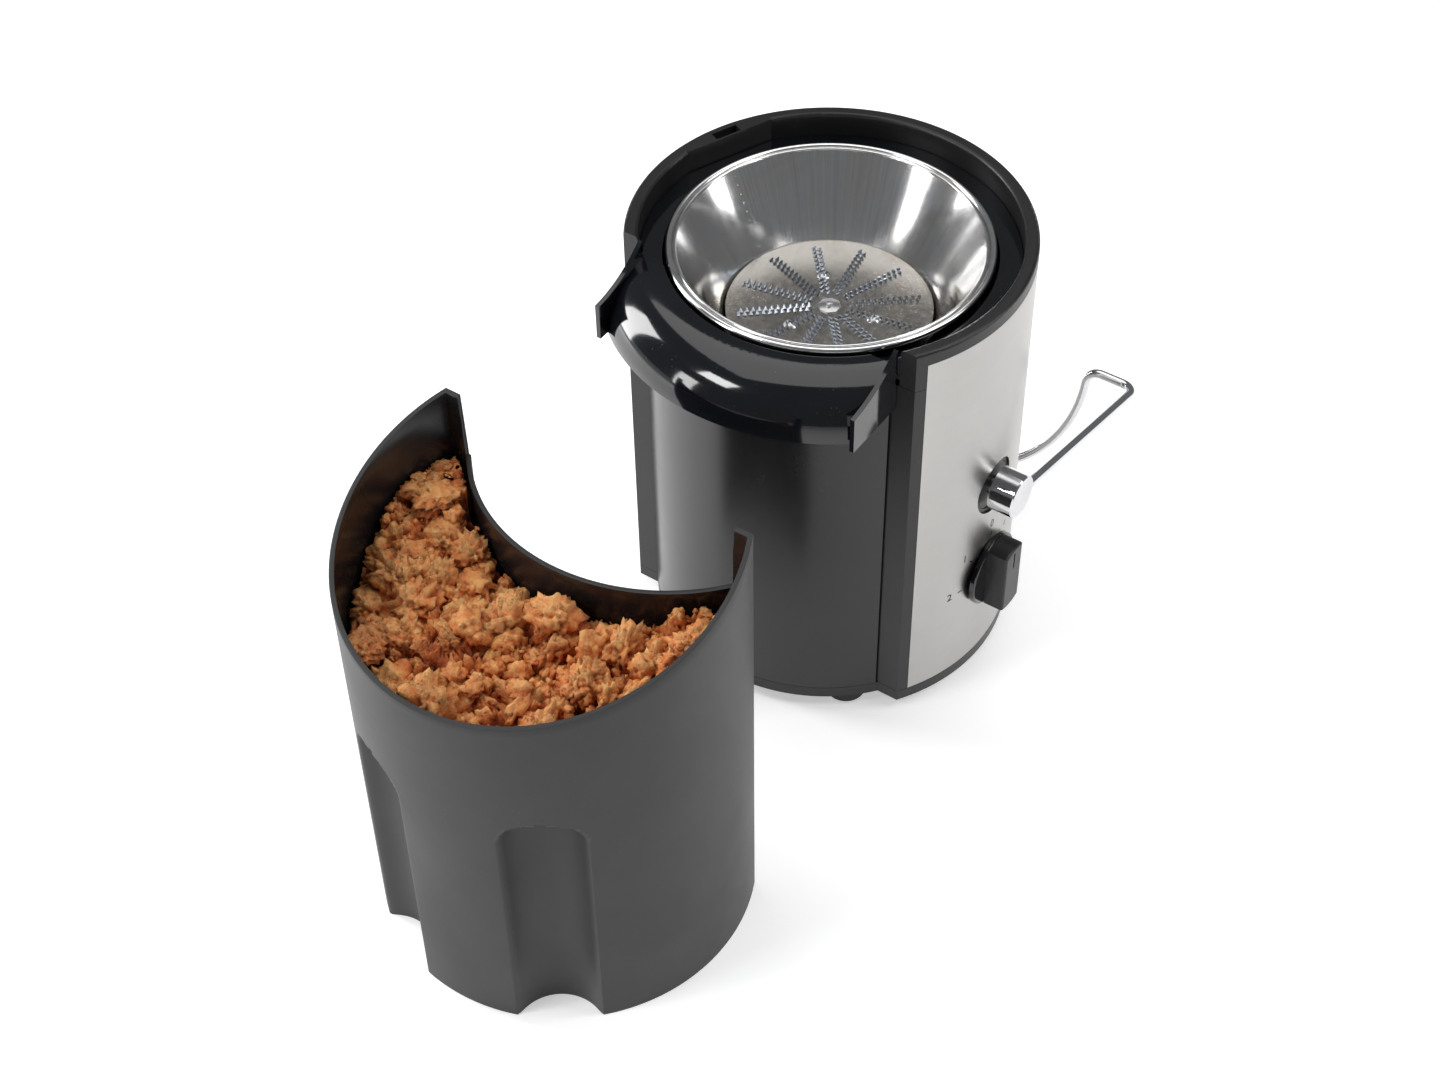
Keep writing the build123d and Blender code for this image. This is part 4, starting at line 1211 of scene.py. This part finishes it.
    def lump(self, mesh: bmesh.types.BMesh, place: Vector, size: float, fineness: int) -> None:
        """Adds one ragged lump, kept inside the hollow.

        Args:
            mesh: The bmesh to add it to.
            place: Its middle, from the tub's centre.
            size: Its mean radius.
            fineness: Subdivisions of its surface.
        """
        turn = Matrix.Rotation(self.draws.uniform(0.0, 6.28), 4, Vector((
            self.draws.uniform(-1.0, 1.0), self.draws.uniform(-1.0, 1.0), 0.4)).normalized())
        made = bmesh.ops.create_icosphere(mesh, subdivisions=fineness, radius=1.0, matrix=turn)
        stretch = Vector([self.draws.uniform(0.55, 1.35) for _ in range(3)])
        offset = Vector([self.draws.uniform(-50.0, 50.0) for _ in range(3)])
        light_and_shade = mesh.verts.layers.float["light_and_shade"]
        for vert in made["verts"]:
            ridges = 0.35 - abs(noise.noise(vert.co * 3.1 + offset))
            grit = noise.noise(vert.co * 7.5 + offset)
            shape = 1.0 + 0.50 * noise.noise(vert.co * 1.5 + offset) + 0.70 * ridges + 0.42 * grit
            if fineness > 3:
                shape += 0.20 * noise.noise(vert.co * 16.0 + offset)
            # Painted light and shade: upward-facing points and ridges get the lighter pulp colour, hollows the
            # darker one; grit adds random tone.
            up = vert.co.z
            vert[light_and_shade] = min(1.0, max(0.0, 0.48 + 0.55 * ridges + 0.30 * grit + 0.28 * up))
            spot = Vector([vert.co[axis] * stretch[axis] for axis in range(3)]) * size * shape + place
            for _ in range(4):
                if self.inside(spot.x, spot.y, 0.3 * MM):
                    break
                spot = spot.lerp(place, 0.35)
            spot.z = self.under_lip(spot.x, spot.y, spot.z)
            vert.co = self.centre + spot


# ------------------------------------------------------------------ drum, bowl and controls
@dataclass
class Drum:
    """Body of the juicer: frame, steel, dock panel, ring, bowl and spout."""

    def build(self) -> None:
        """Dresses the frame's parts."""
        for node in ("base_plate", "housing_frame", "pivot_cups", "top_ring", "interlock_plunger"):
            coat(node, Finish.SATIN_BLACK)
        for node in ("filter_bowl", "juice_spout"):
            coat(node, Finish.GLOSS_BLACK)
        coat("dock_panel", Finish.DOCK_BLACK)
        for node in ("feet", "cord_gland", "shaft_seal", "motor_mounts"):
            coat(node, Finish.RUBBER)
        coat("steel_wrap", Finish.SHEET)


@dataclass
class Controls:
    """Locking bail, speed knob and the marks beside it."""

    mark_height: float = 6.0 * MM
    mark_radius: float = 24.0 * MM
    marks: tuple[tuple[str, float], ...] = (("1", 135.0), ("0", 90.0), ("2", 180.0), ("P", 45.0))
    print_thickness: float = 0.04 * MM
    dash_length: float = 2.6 * MM
    dash_width: float = 0.7 * MM

    def build(self) -> None:
        """Dresses the controls and makes the speed marks."""
        for node in ("locking_bail", "bail_boss_right", "bail_boss_left"):
            coat(node, Finish.CHROME)
        for node in ("bail_pins", "knob_spindle"):
            coat(node, Finish.MACHINED)
        coat("bail_bushes", Finish.BRONZE)
        coat("speed_knob", Finish.SATIN_BLACK)
        coat("knob_skirt", Finish.GLOSS_BLACK)
        self.speed_marks()

    def speed_marks(self) -> None:
        """Short dashes and plain numbers printed on the steel round the knob."""
        low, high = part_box("knob_skirt")
        knob_z = (low[2] + high[2]) / 2
        drum_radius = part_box("steel_wrap")[1][0] + self.print_thickness
        axis = drum_axis()
        mesh = bmesh.new()
        for text, angle in self.marks:
            spot = Vector((math.cos(math.radians(angle)), math.sin(math.radians(angle)), 0.0))
            curve = bpy.data.curves.new("mark", "FONT")
            curve.body = text
            curve.size = self.mark_height
            curve.align_x = "CENTER"
            curve.align_y = "CENTER"
            holder = bpy.data.objects.new("mark", curve)
            bpy.context.collection.objects.link(holder)
            graph = bpy.context.evaluated_depsgraph_get()
            flat = bpy.data.meshes.new_from_object(holder.evaluated_get(graph))
            start = len(mesh.verts)
            mesh.from_mesh(flat)
            mesh.verts.ensure_lookup_table()
            for vert in mesh.verts[start:]:
                vert.co += spot * (self.mark_radius + 3.0 * MM)
            bpy.data.objects.remove(holder)
            bpy.data.meshes.remove(flat)
            dash = bmesh.ops.create_grid(mesh, x_segments=2, y_segments=8, size=0.5)
            turn = Matrix.Rotation(math.radians(angle), 4, "Z")
            for vert in dash["verts"]:
                out = self.mark_radius - 3.2 * MM + vert.co.x * self.dash_length
                vert.co = turn @ Vector((out, vert.co.y * self.dash_width, 0.0))
        for vert in mesh.verts:
            bend = vert.co.x / drum_radius
            around = Vector((drum_radius * math.cos(bend), drum_radius * math.sin(bend), 0.0))
            vert.co = axis + around + Vector((0.0, 0.0, knob_z + vert.co.y))
        bmesh.ops.recalc_face_normals(mesh, faces=mesh.faces)
        piece(mesh, "speed_marks", Finish.MARKS, "housing", 180.0)


@dataclass
class Inside:
    """Motor, switches and fastenings inside the drum."""

    def build(self) -> None:
        """Dresses every inner part."""
        finishes = {
            Finish.MACHINED: ("motor_shaft", "lower_bearing", "upper_bearing", "lower_bracket",
                              "upper_bracket", "through_bolts", "bolt_spacers", "brush_springs",
                              "base_screws", "deck_screws", "disc_screws"),
            Finish.STACK: ("stator_core", "rotor_core"),
            Finish.WINDING: ("field_coils", "rotor_windings", "commutator"),
            Finish.CARBON: ("brushes",),
            Finish.BRONZE: ("brush_holders",),
            Finish.INNER: ("cooling_fan", "motor_deck", "speed_switch", "interlock_switch"),
            Finish.BOARD: ("control_board",),
        }
        for finish, nodes in finishes.items():
            for node in nodes:
                coat(node, finish)


# ------------------------------------------------------------------ studio
@dataclass(frozen=True)
class Softbox:
    """One rectangular lamp; its place and target are measured from the drum's axis."""

    name: str
    place: Place
    target: Place
    width: float
    height: float
    power: float


@dataclass
class Studio:
    """Pale floor, soft lamps, a bright room and the camera."""

    lamps: tuple[Softbox, ...] = (
        Softbox("overhead softbox", (-0.3, 0.4, 2.0), (0.0, 0.0, 0.1), 2.0, 1.8, 17.0),
        Softbox("left softbox", (-1.25, -0.35, 0.55), (0.0, 0.0, 0.12), 0.35, 1.0, 12.0),
        Softbox("low left strip", (-0.75, -1.10, 0.42), (0.0, 0.0, 0.16), 0.22, 0.6, 4.0),
        Softbox("high right softbox", (0.9, 0.3, 1.3), (0.0, 0.0, 0.1), 0.5, 0.5, 4.0),
        Softbox("front softbox", (-0.7, -1.3, 1.5), (0.0, -0.1, 0.1), 0.5, 0.4, 9.0),
        Softbox("right softbox", (1.2, 0.7, 0.7), (0.0, 0.0, 0.12), 0.3, 1.0, 4.0),
    )
    floor_size: float = 30.0
    room_colour: Colour = (0.95, 0.97, 1.0)
    room_strength: float = 0.16
    camera_from_axis: Place = (0.42025, -0.67991, 0.84411)
    sensor_width: float = 36.0
    heading: float = 35.2
    pitch: float = 45.63
    roll: float = -1.03
    lens: float = 60.8

    def build(self) -> None:
        """Makes the floor, the lamps, the room and the camera."""
        self.floor()
        self.room()
        for softbox in self.lamps:
            self.lamp(softbox)
        self.camera()

    def floor(self) -> None:
        """One wide flat sheet at table level."""
        mesh = bmesh.new()
        bmesh.ops.create_grid(mesh, x_segments=2, y_segments=2, size=self.floor_size)
        data = bpy.data.meshes.new("studio_floor")
        mesh.to_mesh(data)
        mesh.free()
        made = bpy.data.objects.new("studio_floor", data)
        data.materials.append(Finish.FLOOR.material())
        bpy.context.collection.objects.link(made)

    def room(self) -> None:
        """Even white surroundings."""
        world = bpy.data.worlds.new("white room")
        world.use_nodes = True
        background = world.node_tree.nodes["Background"]
        background.inputs["Color"].default_value = (*self.room_colour, 1.0)
        background.inputs["Strength"].default_value = self.room_strength
        bpy.context.scene.world = world
        bpy.context.scene.view_settings.view_transform = "Standard"

    def lamp(self, softbox: Softbox) -> None:
        """Hangs one softbox.

        Args:
            softbox: The lamp.
        """
        light = bpy.data.lights.new(softbox.name, "AREA")
        light.shape = "RECTANGLE"
        light.size = softbox.width
        light.size_y = softbox.height
        light.energy = softbox.power
        place = drum_axis() + Vector(softbox.place)
        target = drum_axis() + Vector(softbox.target)
        made = bpy.data.objects.new(softbox.name, light)
        made.location = place
        made.rotation_euler = (target - place).to_track_quat("-Z", "Y").to_euler()
        bpy.context.collection.objects.link(made)

    def camera(self) -> None:
        """Camera above and to the right of the container, looking down at the set."""
        data = bpy.data.cameras.new("camera")
        data.lens = self.lens
        data.sensor_width = self.sensor_width
        made = bpy.data.objects.new("camera", data)
        turn = (Matrix.Rotation(math.radians(self.heading), 4, "Z")
                @ Matrix.Rotation(math.radians(90.0 - self.pitch), 4, "X")
                @ Matrix.Rotation(math.radians(self.roll), 4, "Z"))
        made.matrix_world = Matrix.Translation(drum_axis() + Vector(self.camera_from_axis)) @ turn
        bpy.context.collection.objects.link(made)
        bpy.context.scene.camera = made


def main() -> None:
    """Builds the set in order."""
    logging.basicConfig(level=logging.INFO, format="%(name)s: %(message)s")
    Studio().build()
    Drum().build()
    Controls().build()
    Inside().build()
    FilterBasket().build()
    tub = PulpTub()
    tub.build()
    PulpHeap(tub).build()


if __name__ == "__main__":
    main()
